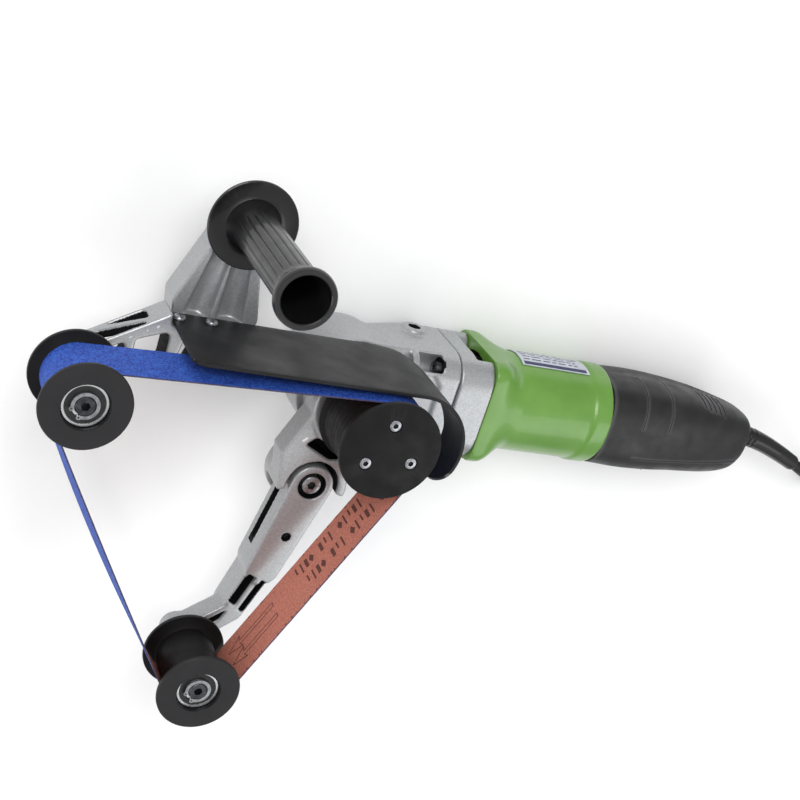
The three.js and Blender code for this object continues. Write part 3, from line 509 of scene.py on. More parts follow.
def ramp_between(tree, source, low, high, start=0.3, end=0.7):
    ramp = add_node(tree, "ShaderNodeValToRGB", {0: source})
    for stop, position, colour in zip(ramp.color_ramp.elements, (start, end), (low, high)):
        stop.position = position
        stop.color = (*colour, 1)
    return ramp.outputs[0]


def bump(tree, shader, layers):
    """Layers of (size in mm, height in mm, optional stretch), each added to the one before."""
    last = {}
    for size, height, *stretch in layers:
        step = {"Distance": height * MM, "Height": noise(tree, size, 2.0, *stretch)}
        last = {"Normal": add_node(tree, "ShaderNodeBump", step | last).outputs[0]}
    set_inputs(tree, shader, last)


def paint(name, low, high, size, roughness, metallic=0.0, grain=((0.5, 0.02),), edge_wear_and_highlight=None,
          rough_spread=0.1, coat=0.0, shine=0.5):
    """A colour that drifts between two, with a grain, and lighter edges where edge_wear_and_highlight gives a
    colour: partly real wear on the edges, partly a painted highlight along them.
    """
    look, tree, shader = new_look(name, roughness, metallic)
    colour = ramp_between(tree, noise(tree, size), low, high)
    if edge_wear_and_highlight:
        wear_and_highlight_colour, start, end = edge_wear_and_highlight
        # Convex edges, found by their pointiness, take the edge colour: rubbed wear and a painted highlight
        # both.
        edges = add_node(tree, "ShaderNodeNewGeometry").outputs["Pointiness"]
        where = ramp_between(tree, edges, (0, 0, 0), (1, 1, 1), start, end)
        mix = {"Factor": where, "A": colour, "B": (*wear_and_highlight_colour, 1)}
        colour = add_node(tree, "ShaderNodeMix", mix, data_type="RGBA").outputs["Result"]
    spread = add_node(tree, "ShaderNodeMapRange", {
        0: noise(tree, size * 0.7), "From Min": 0.3, "From Max": 0.7,
        "To Min": roughness - rough_spread, "To Max": roughness + rough_spread,
    })
    set_inputs(tree, shader, {"Base Color": colour, "Roughness": spread.outputs[0],
                              "Coat Weight": coat, "Specular IOR Level": shine})
    bump(tree, shader, grain)
    return look


# Its bright edges are partly wear and partly a painted highlight.
CAST = paint("cast_aluminium", rgb(156, 158, 160), rgb(178, 180, 182), 1.2, 0.36, 0.6,
             ((0.9, 0.05), (0.35, 0.025)), (rgb(232, 233, 235), 0.55, 0.7), 0.05)
SHADE = paint("cast_in_the_shade", rgb(12, 12, 13), rgb(22, 22, 23), 3, 0.7, 0.0, ((0.9, 0.05),), shine=0.12)
STEEL = paint("steel", rgb(128, 130, 134), rgb(172, 174, 178), 3, 0.32, 0.9, ((0.3, 0.006),))
RACE = paint("bearing_ring", rgb(196, 198, 200), rgb(222, 224, 226), 4, 0.25, 0.85, ((0.3, 0.003),))
DARK_STEEL = paint("dark_steel", rgb(50, 52, 55), rgb(84, 86, 90), 3, 0.38, 0.9, ((0.3, 0.006),))
GREEN = paint("green_nylon", rgb(88, 136, 48), rgb(102, 149, 60), 30, 0.33, 0.0,
              ((0.8, 0.012), (14, 0.15)), (rgb(150, 184, 112), 0.53, 0.6), 0.05, 0.25)
CHARCOAL = paint("charcoal_nylon", rgb(25, 25, 26), rgb(37, 37, 38), 16, 0.46, 0.0,
                 ((0.5, 0.025), (7, 0.08, (0.25, 1, 1))), (rgb(60, 60, 62), 0.54, 0.66), shine=0.35)
HANDLE = paint("handle_moulding", rgb(12, 12, 13), rgb(20, 20, 21), 12, 0.34, 0.0,
               ((0.45, 0.012),), (rgb(50, 50, 52), 0.53, 0.62), 0.06, 0.3, 0.3)
ROLLER = paint("roller_black", rgb(13, 13, 14), rgb(21, 20, 22), 14, 0.5, 0.0,
               ((0.4, 0.012),), (rgb(78, 78, 80), 0.54, 0.64), shine=0.18)
ENAMEL = paint("guard_enamel", rgb(20, 20, 22), rgb(31, 31, 33), 40, 0.46, 0.1,
               ((0.6, 0.015), (20, 0.1)), (rgb(90, 90, 92), 0.55, 0.66), shine=0.25)
RUBBER = paint("cord_rubber", rgb(17, 17, 18), rgb(27, 27, 28), 10, 0.5, 0.0, ((0.6, 0.02),), shine=0.35)
IRON = paint("lamination_iron", rgb(84, 84, 88), rgb(116, 116, 120), 4, 0.45, 0.8, ((0.5, 0.03, (6, 1, 1)),))
COPPER = paint("copper", rgb(176, 104, 60), rgb(206, 134, 86), 4, 0.3, 0.9, ((0.4, 0.008),))
BRONZE = paint("bronze", rgb(150, 122, 70), rgb(180, 150, 96), 2, 0.5, 0.7, ((0.3, 0.02),))
CARBON = paint("carbon", rgb(34, 34, 34), rgb(50, 50, 50), 1.5, 0.6, 0.2, ((0.2, 0.01),))
FOIL = paint("nameplate_foil", rgb(176, 180, 192), rgb(206, 210, 220), 8, 0.35, 0.4, ((0.5, 0.006),))
INK = paint("nameplate_ink", rgb(28, 32, 74), rgb(42, 46, 92), 4, 0.4, 0.1, ((0.5, 0.004),))
# The bearings' dark seals have this colour of their own; in the screw sockets the same look is painted shade.
SHIELD_AND_SOCKET_SHADE = paint("bearing_shield_and_socket_shade", rgb(20, 20, 21), rgb(34, 34, 35), 3, 0.5, 0.1, ((0.4, 0.01),))
BELT_EDGE = paint("belt_edge", rgb(36, 36, 66), rgb(78, 66, 92), 2, 0.85)
BELT_INK = paint("belt_ink", rgb(84, 46, 40), rgb(104, 58, 50), 2, 0.8)


def grit_look():
    """Blue abrasive grains, each of its own tint, on slightly uneven patches."""
    look, tree, shader = new_look("blue_grit", 0.75)
    where = add_node(tree, "ShaderNodeTexCoord").outputs["Object"]
    grains = add_node(tree, "ShaderNodeTexVoronoi", {"Vector": where, "Scale": 1 / (0.9 * MM)})
    tint = ramp_between(tree, grains.outputs["Color"], rgb(4, 36, 142), rgb(58, 116, 218), 0.1, 0.95)
    patches = ramp_between(tree, noise(tree, 5), (0.66, 0.68, 0.8), (1, 1, 1))
    mix = add_node(tree, "ShaderNodeMix", {"Factor": 1.0, "A": tint, "B": patches},
                   data_type="RGBA", blend_type="MULTIPLY")
    rise = add_node(tree, "ShaderNodeBump", {"Distance": 0.3 * MM, "Height": grains.outputs["Distance"]})
    set_inputs(tree, shader, {"Base Color": mix.outputs["Result"], "Normal": rise.outputs[0]})
    return look


def backing_look():
    """The belt's terracotta cloth: a fine weave of two thread directions, lightly mottled."""
    look, tree, shader = new_look("belt_backing", 0.8)
    blotch = ramp_between(tree, noise(tree, 1.1, 4), rgb(164, 94, 80), rgb(202, 130, 110))
    set_inputs(tree, shader, {"Base Color": blotch})
    bump(tree, shader, ((0.5, 0.03, (1, 1, 0.2)), (0.5, 0.03, (0.3, 0.3, 2))))
    return look


BELT_LOOKS = [grit_look(), backing_look(), BELT_EDGE, BELT_INK]

# ---- Cord, boot and plug ----

CORD_RADIUS = 4.5
COIL = centre("cord_coil").xy
COIL_OUTER = wide("cord_coil") / 2 - CORD_RADIUS
CORD_ROUTE = [
    (403.4, -17.7, 37.6), (412.5, -21.8, 36.6), (421.6, -26, 33.6), (430.7, -30.1, 28.1), (438, -33.4, 21.1),
    (445.3, -36.8, 14.1), (454.4, -40.9, 8.6), (463.5, -45.1, 5.6), (472.6, -49.2, 4.6),
]
COIL_ENTRY = -114.5
COIL_TURNS = (360 * 7 + 90 - COIL_ENTRY) / 360
# How far each turn lies inside the outer one, and how high, both in cord diameters.
COIL_PLACES = [(0, 0), (1, 0), (2, 0), (2, 1), (1, 1), (0, 1), (1, 2), (1, 2), (0, 2)]


def coil_point(turns):
    """Where the coiled cord is after some turns: it drifts to its next place over each turn."""
    k = min(int(turns), len(COIL_PLACES) - 2)
    share = ease(turns - k)
    (r0, z0), (r1, z1) = COIL_PLACES[k], COIL_PLACES[k + 1]
    radius = COIL_OUTER - 2 * CORD_RADIUS * (r0 + (r1 - r0) * share)
    height = CORD_RADIUS + 0.1 + 2 * CORD_RADIUS * (z0 + (z1 - z0) * share)
    angle = radians(COIL_ENTRY + 360 * turns)
    return Vector((COIL.x + radius * cos(angle), COIL.y + radius * sin(angle), height))


def make_cord():
    points = catmull(CORD_ROUTE, 5)[:-3]
    steps = int(COIL_TURNS * 60)
    points += [coil_point(COIL_TURNS * i / steps) for i in range(2, steps)]
    plug = centre("plug_body")
    plug_start = box("plug_body")[1].x
    last = coil_point(COIL_TURNS)
    points += catmull([
        last, (last.x - 9, last.y, last.z - 0.4), (last.x - 20, plug.y, (last.z + plug.z) / 2 - 0.6),
        (plug_start + 6, plug.y, plug.z), (plug_start - 1, plug.y, plug.z),
    ], 4)
    curve = bpy.data.curves.new("power_cord_full", "CURVE")
    curve.dimensions = "3D"
    curve.bevel_depth = CORD_RADIUS * MM
    curve.bevel_resolution = 5
    curve.use_fill_caps = True
    spline = curve.splines.new("POLY")
    spline.points.add(len(points) - 1)
    for knot, p in zip(spline.points, points):
        knot.co = (*(p * MM), 1)
    spline.use_smooth = True
    cord = linked("power_cord_full", curve)
    curve.materials.append(RUBBER)
    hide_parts("power_cord", "cord_coil")
    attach(cord, BODY)
    length = sum((b - a).length for a, b in zip(points, points[1:])) * MM
    return cord, length, points[0] * MM


def make_tie():
    """A hook-and-loop strap round all the turns of the coil."""
    half, thick = 14.2, 1.0
    band = loft([[(x, y, z) for x, z in rounded_square(half, 5)] for y in (-7, -3.5, 0, 3.5, 7)])
    hollow = loft([[(x, y, z) for x, z in rounded_square(half - thick, 4.2)] for y in (-10.8, 10.8)])
    tab = block((half - thick, -7, -6), (half + 0.6, 7, 10))
    band = round_edges(fuse(carve(band, hollow), tab), 0.3)
    shift(band, COIL.x - COIL_OUTER + 2 * CORD_RADIUS + 0.7, COIL.y, half + 0.1)
    return place(band, "cord_tie", None, ENAMEL)


def make_boot():
    """A tapered sleeve, ribbed where it leaves the tail, that follows the cord's first bend."""
    path = catmull([
        (TAIL_END - 9, 0.3, MOTOR_Z), (TAIL_END + 1.4, 0.3, MOTOR_Z), (352, -0.6, MOTOR_Z),
        (368, -4.6, MOTOR_Z), (386, -10.8, MOTOR_Z), (403, -17.5, MOTOR_Z - 0.3),
    ], 12)
    last = len(path) - 1
    rings = []
    for i, p in enumerate(path):
        ahead = path[min(i + 1, last)] - path[max(i - 1, 0)]
        across = ahead.cross(Vector((0, 0, 1))).normalized()
        up = across.cross(ahead).normalized()
        radius = 8.8 - 2.5 * i / last
        if p.x < TAIL_END + 0.6:
            radius = 6.4
        elif i < 0.42 * last and i % 4 == 0:
            radius -= 0.7
        if i == last:
            radius -= 0.5
        rings.append([p + across * radius * cos(a) + up * radius * sin(a) for a in around(40)])
    place(loft(rings), "cord_boot", "strain_relief", HANDLE, sharp=50)


def make_plug():
    low, high = box("plug_body")
    length = high.x - low.x
    middle = centre("plug_body")
    profile = [
        (0, 0), (15.4, 0), (16.8, 1.2), (17, 2.4), (17, 9), (16.6, 12), (14.6, 16), (12.6, 20), (10.4, 23),
        (8.8, 26), (7.4, 28), (7.4, 29.2), (6.6, 29.4), (6.6, 30.6), (7.2, 30.8), (7.2, 32), (6.4, 32.2),
        (6.4, 33.6), (7, 33.8), (7, length - 0.4), (6.4, length), (0, length),
    ]

    def ribs(angle, height, radius):
        return -0.35 if 3 < height < 12 and cos(20 * angle) > 0.2 else 0

    body = lathe(profile, (low.x, middle.y, middle.z), "x", 120, ribs)
    made = [place(body, "mains_plug", "plug_body", RUBBER)]
    for i in (1, 2):
        low, high = box(f"plug_pin_{i}")
        middle = centre(f"plug_pin_{i}")
        radius, reach = (high.y - low.y) / 2, high.x - low.x
        pin = lathe([
            (0, 0), (radius * 0.6, 0), (radius * 0.9, 0.5), (radius, 1.4), (radius, reach), (0, reach),
        ], (low.x, middle.y, middle.z), "x", 32)
        made.append(place(pin, f"mains_pin_{i}", f"plug_pin_{i}", STEEL))
    return made


make_camera()
make_studio()
cord, cord_length, cord_exit = make_cord()
make_plug() + [make_tie()]
make_boot()

# ---- Screws ----


def cap_screw(shank, head, height, length, socket):
    """A socket-head screw along +Z with its head's top at the origin."""
    body = lathe([
        (0, -height - length), (shank - 0.4, -height - length), (shank, -height - length + 0.5),
        (shank, -height), (head, -height), (head, -0.5), (head - 0.15, -0.18), (head - 0.5, 0), (0, 0),
    ], segments=48)
    return carve(body, prism(circle((0, 0), socket, 6), -height * 0.6, 1))


def cross_screw(profile, segments, reach, half, depth):
    """A turned screw with a cross cut into its head, whose top is at the origin."""
    slots = [turn(block((-reach, -half, -depth), (reach, half, 1)), angle) for angle in (0, 90)]
    return carve(lathe(profile, segments=segments), *slots)


def make_screws():
    for i, (y, z) in enumerate(CORNERS, 1):
        bolt = dark_socket(cap_screw(2.5, 4.5, 4.5, 52, 2.2), DARK_STEEL, 2.25, -0.2, -2.8)
        shift(turn(bolt, -90, "Y"), box(f"housing_screw_{i}")[0].x, y, z)
        place(bolt, f"corner_bolt_{i}", f"housing_screw_{i}", None)
    for i in (1, 2):
        node = f"guard_screw_{i}"
        screw = cross_screw([(0, -10.6), (1.7, -10.6), (2, -10), (2, -2.6), (4, -2.6), (4, -1.5), (3.4, -0.5),
                             (2.2, 0), (0, 0)], 40, 2.3, 0.45, 1.3)
        shift(turn(screw, -90, "X"), centre(node).x, box(node)[1].y, centre(node).z)
        place(screw, f"guard_bolt_{i}", node, STEEL)
    for i in (1, 2):
        node = f"tail_screw_{i}"
        screw = cross_screw([(0, -41), (1.2, -41), (1.6, -39), (1.6, -3), (3.3, -3), (3.3, -1), (2.4, 0),
                             (0, 0)], 32, 1.9, 0.35, 1.5)
        shift(turn(screw, 180, "X"), centre(node).x, centre(node).y, box(node)[0].z)
        place(screw, f"tail_bolt_{i}", node, STEEL)
    low, high = box("pivot_bolt")
    bolt = dark_socket(cap_screw(4, 6.5, 5, high.z - low.z - 5.1, 3.1), STEEL, 3.2, -0.3)
    place(shift(bolt, PIVOT.x, PIVOT.y, high.z), "swing_pivot_bolt", "pivot_bolt", None)
    for i in (1, 2, 3):
        node = f"disc_screw_{i}"
        low, high = box(node)
        end = low.z - high.z
        screw = lathe([(0, end), (1.6, end), (2, end + 0.5), (2, -2.6), (3.8, -0.5), (3.8, -0.15), (3.6, 0),
                       (0, 0)], segments=40)
        carve(screw, turn(prism(circle((0, 0), 1.9, 6), -1.7, 1), 17 + 30 * i))
        shift(dark_socket(screw, STEEL, 1.95, -0.2, -1.8), centre(node).x, centre(node).y, high.z)
        place(screw, f"disc_bolt_{i}", node, None, "drive")


# ---- Rollers ----


def make_drive_roller():
    back, seat = ROLLER_BACK, box("drive_roller")[1].z
    bore = 7 + GAP
    grooves = []
    for i in range(7):
        at = seat - 3 - 5.4 * i
        grooves += [(DRIVE_RADIUS, at), (DRIVE_RADIUS - 0.2, at - 0.5), (DRIVE_RADIUS - 0.2, at - 1.1),
                    (DRIVE_RADIUS, at - 1.6)]
    body = lathe([
        (bore, back), (31.6, back), (32.4, back + 0.8), (32.4, back + 2.2), (DRIVE_RADIUS, back + 4.8),
        *reversed(grooves), (DRIVE_RADIUS, seat - 0.4), (DRIVE_RADIUS - 0.4, seat), (25.5, seat),
        (25.5, back + 14), (22, back + 14), (22, seat), (bore, seat),
    ], segments=120)
    place(body, "drive_drum", "drive_roller", ROLLER, "drive", 30)
    low, high = box("drive_disc")
    disc = lathe([
        (0, low.z), (DISC_RADIUS - 0.3, low.z), (DISC_RADIUS, low.z + 0.3), (DISC_RADIUS, high.z - 0.7),
        (DISC_RADIUS - 0.25, high.z - 0.22), (DISC_RADIUS - 0.8, high.z), (0, high.z),
    ], segments=120)
    for i in (1, 2, 3):
        at = centre(f"disc_screw_{i}")
        carve(disc, lathe([
            (0, low.z - 1), (2.3, low.z - 1), (2.3, high.z - 3.2), (4.3, high.z - 0.55), (4.5, high.z + 1),
            (0, high.z + 1),
        ], (at.x, at.y, 0), segments=40))
    place(disc, "drive_cover_disc", "drive_disc", ROLLER, "drive")


def make_bearing(name, node, body):
    low, high = box(node)
    middle = centre(node)
    outer, inner = wide(node) / 2, AXLE_RADIUS + GAP
    half = [(inner, 0.3), (inner + 0.3, 0), (8, 0), (8, 0.5), (12, 0.5), (12.3, 0), (outer - 0.4, 0),
            (outer, 0.4)]
    ring = lathe(mirrored(half, high.z - low.z), (middle.x, middle.y, low.z), segments=72)
    dress(ring, [RACE, SHIELD_AND_SOCKET_SHADE],
          lambda face: 8.1 < hypot(face.center.x - middle.x, face.center.y - middle.y) < 11.9)
    place(ring, name, node, None, body, 30)


def make_idler(name, spin_body, axle_body):
    low, high = box(f"{name}_roller")
    at = centre(f"{name}_roller")
    width = high.z - low.z
    bore, seat = BEARING_SEAT, 12.3
    half = [
        (seat, width / 2 - 2), (seat, 11.8), (bore, 11.8), (bore, 0.5), (bore + 0.5, 0),
        (IDLER_FLANGE - 0.7, 0), (IDLER_FLANGE, 0.7), (IDLER_FLANGE, 2.4), (IDLER_FLANGE - 0.5, 2.9),
        (IDLER_RADIUS + 2.5, 3.5), (IDLER_RADIUS + 0.4, 4.2), (IDLER_RADIUS - 0.3, 5.2),
        (IDLER_RADIUS - 0.1, 14), (IDLER_RADIUS, 23),
    ]
    drum = lathe(mirrored(half, width), (at.x, at.y, low.z), segments=120)
    place(drum, f"{name}_drum", f"{name}_roller", ROLLER, spin_body, 30)
    for side in ("back", "front"):
        make_bearing(f"{name}_race_{side}", f"{name}_bearing_{side}", spin_body)
    bottom, top = (corner.z for corner in box(f"{name}_axle"))
    axle = lathe([
        (0, bottom), (4.2, bottom), (4.8, bottom + 0.7), (4.8, low.z - 2.4), (8, low.z - 2.4),
        (8, low.z + 3.2), (AXLE_RADIUS, low.z + 3.2), (AXLE_RADIUS, high.z - 3.1), (5.5, high.z - 3.1),
        (5.5, high.z - 1.8), (AXLE_RADIUS, high.z - 1.8), (AXLE_RADIUS, top - 0.5), (AXLE_RADIUS - 0.5, top),
        (0, top),
    ], (at.x, at.y, 0), segments=64)
    carve(axle, prism(circle(at, 2.9, 6), top - 5, top + 1))
    place(axle, f"{name}_spindle", f"{name}_axle", DARK_STEEL, axle_body)
    clip_low, clip_high = (corner.z for corner in box(f"{name}_circlip"))
    gap = 225
    outline = circle((0, 0), 8.5, 60, gap + 24, gap + 336) + circle((0, 0), 6.4, 60, gap + 336, gap + 24)
    clip = prism(outline, clip_low, clip_high)
    for angle in (radians(gap - 27), radians(gap + 27)):
        lug = (8 * cos(angle), 8 * sin(angle))
        fuse(clip, upright(1.5, lug, clip_low, clip_high, 20))
        carve(clip, upright(0.6, lug, clip_low - 1, clip_low + 3, 16))
    shift(clip, at.x, at.y, 0)
    place(clip, f"{name}_clip", f"{name}_circlip", STEEL, axle_body)


# ---- Belt ----

BELT_CLOTH = 0.9                         # its thickness, a little compressed on the rollers
BOW_BACK, BOW_FRONT = 6.4, 1.0          # how far the free run stands out at the belt's two edges
BELT_ROWS = 12
# The bars that stand for printed words: where each starts and ends across its line, and its thickness.
PRINT_BARS = {"b": (-4.4, 4.4, 1.4), "h": (-4.4, 0.8, 1.4), "f": (-2.8, 2.8, 2.8)}
PRINT_LINE = "hbfd.fhb.dbhfb.dhbf"


def belt_path():
    """Points round the three rollers, each with its outward normal and its share of the free run's bow."""
    wheels = [(Vector((0, 0)), DRIVE_RADIUS), (UPPER, IDLER_RADIUS), (LOWER, IDLER_RADIUS)]
    angles = []
    for (a, ra), (b, rb) in zip(wheels, wheels[1:] + wheels[:1]):
        way = atan2(b.y - a.y, b.x - a.x)
        angles.append(way - acos((ra - rb) / (b - a).length))
    made = []
    arc_steps, run_steps = 48, 60
    for k, (middle, radius) in enumerate(wheels):
        start, end = angles[k - 1], angles[k]
        while end < start:
            end += 2 * pi
        for i in range(arc_steps + 1):
            angle = start + (end - start) * i / arc_steps
            normal = Vector((cos(angle), sin(angle)))
            made.append((middle + normal * radius, normal, 0.0))
        after, after_radius = wheels[(k + 1) % 3]
        normal = Vector((cos(end), sin(end)))
        a, b = middle + normal * radius, after + normal * after_radius
        for t in (i / run_steps for i in range(1, run_steps)):
            bow = sqrt(sin(pi * t)) * (1.1 - 0.25 * t) if k == 1 else 0.0
            made.append((a.lerp(b, t), normal, bow))
    return made


def belt_point(spot, across, lift):
    """A point of the belt, counted from its back edge and lifted off the rollers."""
    point, normal, bow = spot
    stand = bow * (BOW_FRONT + (BOW_BACK - BOW_FRONT) * (BELT_WIDTH - across) / BELT_WIDTH)
    flat = point + normal * (GAP + lift + stand)
    return (flat.x, flat.y, BELT_BACK + across)


def run_marks(path):
    """Printed marks on the cloth side of the run from the lower idler to the drive roller:
    direction arrows, plain bars in place of words, and ragged ticks at the cut edges."""
    normal = path[-10][1]
    first, last = path[-59][0], path[-1][0]
    along = (last - first).normalized()
    lift = normal * (GAP - 0.02)
    rise = Vector((*(-normal * 0.07), 0))
    marks = []

    def slab(outline):
        top = [Vector((*(first + along * u + lift), BELT_BACK + v)) for u, v in outline]
        marks.append(loft([top, [p + rise for p in top]]))

    def stroke(a, b, thick=0.6):
        a, b = Vector(a), Vector(b)
        way = (b - a).normalized() * thick / 2
        side = way.orthogonal()
        slab([a - side - way, b - side + way, b + side + way, a + side - way])

    for v in (12.5, 24.5):
        head, tail, reach, half = 16, 62, 5.2, 1.7
        corners = [(head, v), (head + 13, v + reach), (head + 11.5, v + half), (tail, v + half),
                   (tail, v - half), (head + 11.5, v - half), (head + 13, v - reach), (head, v)]
        for a, b in zip(corners, corners[1:]):
            stroke(a, b)
    for v in (10.5, 25.5):
        u = 84 + v * 0.4
        for kind in PRINT_LINE:
            if kind in PRINT_BARS:
                low, high, thick = PRINT_BARS[kind]
                stroke((u, v + low), (u, v + high), thick)
            elif kind == "d":
                slab([(u - 2.4, v), (u, v + 4.2), (u + 2.4, v), (u, v - 4.2)])
            u += 4.9
    draw = random.Random(5)
    for edge, inward in ((0.4, 1), (BELT_WIDTH - 0.4, -1)):
        for _ in range(34):
            u = draw.uniform(6, 176)
            size = draw.uniform(0.6, 1.5)
            slab([(u, edge), (u + size, edge), (u + size * 0.8, edge + inward * size),
                  (u + 0.2, edge + inward * size * 0.7)])
    return marks


def make_belt():
    path = belt_path()
    draw = random.Random(3)
    fray = [draw.uniform(-0.18, 0.0) for _ in path]
    grids = []
    for lift in (BELT_CLOTH, 0.0):
        columns = []
        for spot, ragged in zip(path, fray):
            rows = [BELT_WIDTH * j / BELT_ROWS for j in range(BELT_ROWS + 1)]
            rows[0] -= ragged
            rows[-1] += ragged
            columns.append([belt_point(spot, across, lift) for across in rows])
        grids.append(columns)
    vertices, faces, sides = sheet(grids, closed=True)
    belt = dress(solid(vertices, faces), BELT_LOOKS, lambda face: sides[face.index])
    add_marks(belt, run_marks(path), BELT_LOOKS)
    place(belt, "sanding_belt", "abrasive_belt", None, None, 50)
    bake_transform(belt)


# ---- Guard ----

GUARD_CURL = 17                          # x of the curl's centre
GUARD_LEFT = box("belt_guard")[0].x
FRONT_ROUND, END_ROUND = 8, 17
# The back edge climbs towards the front as the sheet curls: (x, height).
GUARD_EDGE = [(0, GUARD_BACK), (9, 66.6), (17, 69), (23.5, 73), (30, 79), (35.5, 87), (41, 95), (50, 107),
              (54, 112)]


def between(points, x):
    """The height of a broken line at x."""
    for (x0, h0), (x1, h1) in zip(points, points[1:]):
        if x <= x1:
            return h0 + (h1 - h0) * max(0, x - x0) / (x1 - x0)
    return points[-1][1]


def corner_cut(radius, distance):
    """How much a rounded corner takes off the edge at a distance from the end."""
    return radius - sqrt(radius**2 - max(0, radius - distance) ** 2)


def make_guard():
    """A flat sheet over the belt's upper run that curls down round the drive roller."""
    flat = GUARD_CURL - GUARD_LEFT
    whole = flat + radians(135) * GUARD_TOP
    columns, rows = 260, 20
    grids = []
    for surface in (GUARD_TOP, GUARD_TOP - GUARD_SHEET):
        grid = []
        for i in range(columns + 1):
            along = whole * (0.5 - 0.5 * cos(pi * i / columns))
            angle = radians(90) - max(0, along - flat) / GUARD_TOP
            x, y = GUARD_LEFT + along, surface
            if along > flat:
                x, y = GUARD_CURL + surface * cos(angle), surface * sin(angle)
            cut = corner_cut(END_ROUND, whole - along)
            low = between(GUARD_EDGE, x) + cut * 0.8
            high = GUARD_FRONT - corner_cut(FRONT_ROUND, along) - cut
            grid.append([(x, y, low + (high - low) * j / rows) for j in range(rows + 1)])
        grids.append(grid)
    vertices, faces, _ = sheet(grids, closed=False)
    holes = [rod(2.3, (at.x, GUARD_TOP - 6, at.z), 12, "y")
             for at in (centre("guard_screw_1"), centre("guard_screw_2"))]
    guard = round_edges(carve(solid(vertices, faces), *holes), 0.4, 2, 50)
    place(guard, "belt_cover", "belt_guard", ENAMEL, sharp=30)


# ---- Side handle ----

GRIP_START, GRIP_END = 88, 178
GRIP_FLUTES = 18


def make_handle():
    base = 70 + GAP

    def flutes(angle, height, radius):
        if not GRIP_START <= height <= GRIP_END or radius < 13:
            return 0
        fade = ease(min(height - GRIP_START, GRIP_END - height) / 5)
        return -0.8 * fade * max(0, cos(GRIP_FLUTES * angle)) ** 6

    profile = [
        (0, base), (13, base), (25.5, 71.2), (28.4, 72.6), (29, 73.6), (28.8, 74.6), (28.2, 75), (26.5, 74.7),
        (20, 74.3), (17.6, 75.2), (16.4, 77.4), (15.4, 80), (14.6, 83), (14.2, 87),
        *[(14.1, GRIP_START + 3 * i) for i in range(31)],
        (14.6, 181), (15.8, 184), (17.6, 186.6), (18.4, 188.4), (18.5, 190), (18.3, 192), (17.6, HANDLE_END),
        (15.2, HANDLE_END), (14.5, 192.4), (14.2, 190), (13.4, 186), (12, 182), (11, 178), (10.5, 170),
        (10.5, 100), (0, 100),
    ]
    shape = lathe(profile, (GRIP.x, GRIP.y, 0), segments=180, wave=flutes)
    fuse(shape, upright(4.8, GRIP, 50, 71, 32))
    place(shape, "side_grip", "side_handle", HANDLE, sharp=40)


# ---- Gear head and bearing plate ----

PAD_X, PAD_Z = 48, 29                    # the middle of the threaded pad on the head's +Y side


def make_gear_head():
    dome = lathe([(0, 0), (24.5, 0), (27, 0.5), (29.5, 1.8), (32, 4.2), (34.4, 8.6), (36, 14), (37.3, 22),
                  (38, 32), (38, HEAD_TOP), (0, HEAD_TOP)], segments=96)
    swell = lathe([(0, 0), (35, 0), (37.6, 10), (40, 25), (42.3, 38), (44, 50), (47, HEAD_END),
                   (0, HEAD_END)], (0, 0, MOTOR_Z), "x", 96)
    fuse(swell, block((-1, -50, MOTOR_Z), (HEAD_END + 1, 50, 80)))
    neck = common(square_along_x(HEAD_HALF, HEAD_CORNER, 0, HEAD_END), swell)
    body = common(fuse(dome, neck), prism(head_outline(HEAD_HALF), 0, HEAD_TOP))
    carve(body, block((-50, -50, HEAD_FRONT), (HEAD_STEP, 50, 90)))
    # A shallow panel is sunk in the front face, and a round pad stands on the +Y side.
    panel = [(HEAD_STEP - 1, -25), (52, -25), (58, -18), (58, 18), (52, 25), (HEAD_STEP - 1, 25)]
    carve(body, prism(panel, HEAD_TOP - 1.6, HEAD_TOP + 1))
    pad = [(0, 0), (9, 0), (9, 3.4), (8.2, 4.1), (0, 4.1)]
    fuse(body, lathe(pad, (PAD_X, HEAD_HALF - 1, PAD_Z), "y", 48))
    soften(body, 0.9, 7)
    tools = [
        upright(31, (0, 0), 40, 40 + HEAD_TOP, 72), upright(20, (0, 0), 7.8, 47.8, 48),
        motor_rod(20, 0, HEAD_END + 1, 48), upright(10.3, (0, 0), 3, 8, 40),
        rod(4.2, (PAD_X, 30, PAD_Z), 12, "y", 32),
        *corner_rods(6.5, 40, 58, 36), *corner_rods(BOLT_HOLE, 55, 75, 24),
    ]
    for (sy, sz), corner in zip(CORNER_SIGNS, CORNERS):
        tools.append(prism(link(corner, 6.5, (sy * 48, MOTOR_Z + sz * 44), 8.5), 40, 58, "x"))
    carve(body, *tools)
    soften(body, 0.75, 2)

    # Painted shade: the bottoms of the corner pockets and the pad's threaded hole are made near black.
    def deep(x, y, z):
        corner = hypot(abs(y) - CORNER_SCREW, abs(z - MOTOR_Z) - CORNER_SCREW) < 7.4
        pad_hole = hypot(x - PAD_X, z - PAD_Z) < 4.4 and y > 30
        return (corner and 55.5 < x < 60) or pad_hole

    place(dark_where(body, deep), "gear_case", "gear_housing", None, sharp=80)


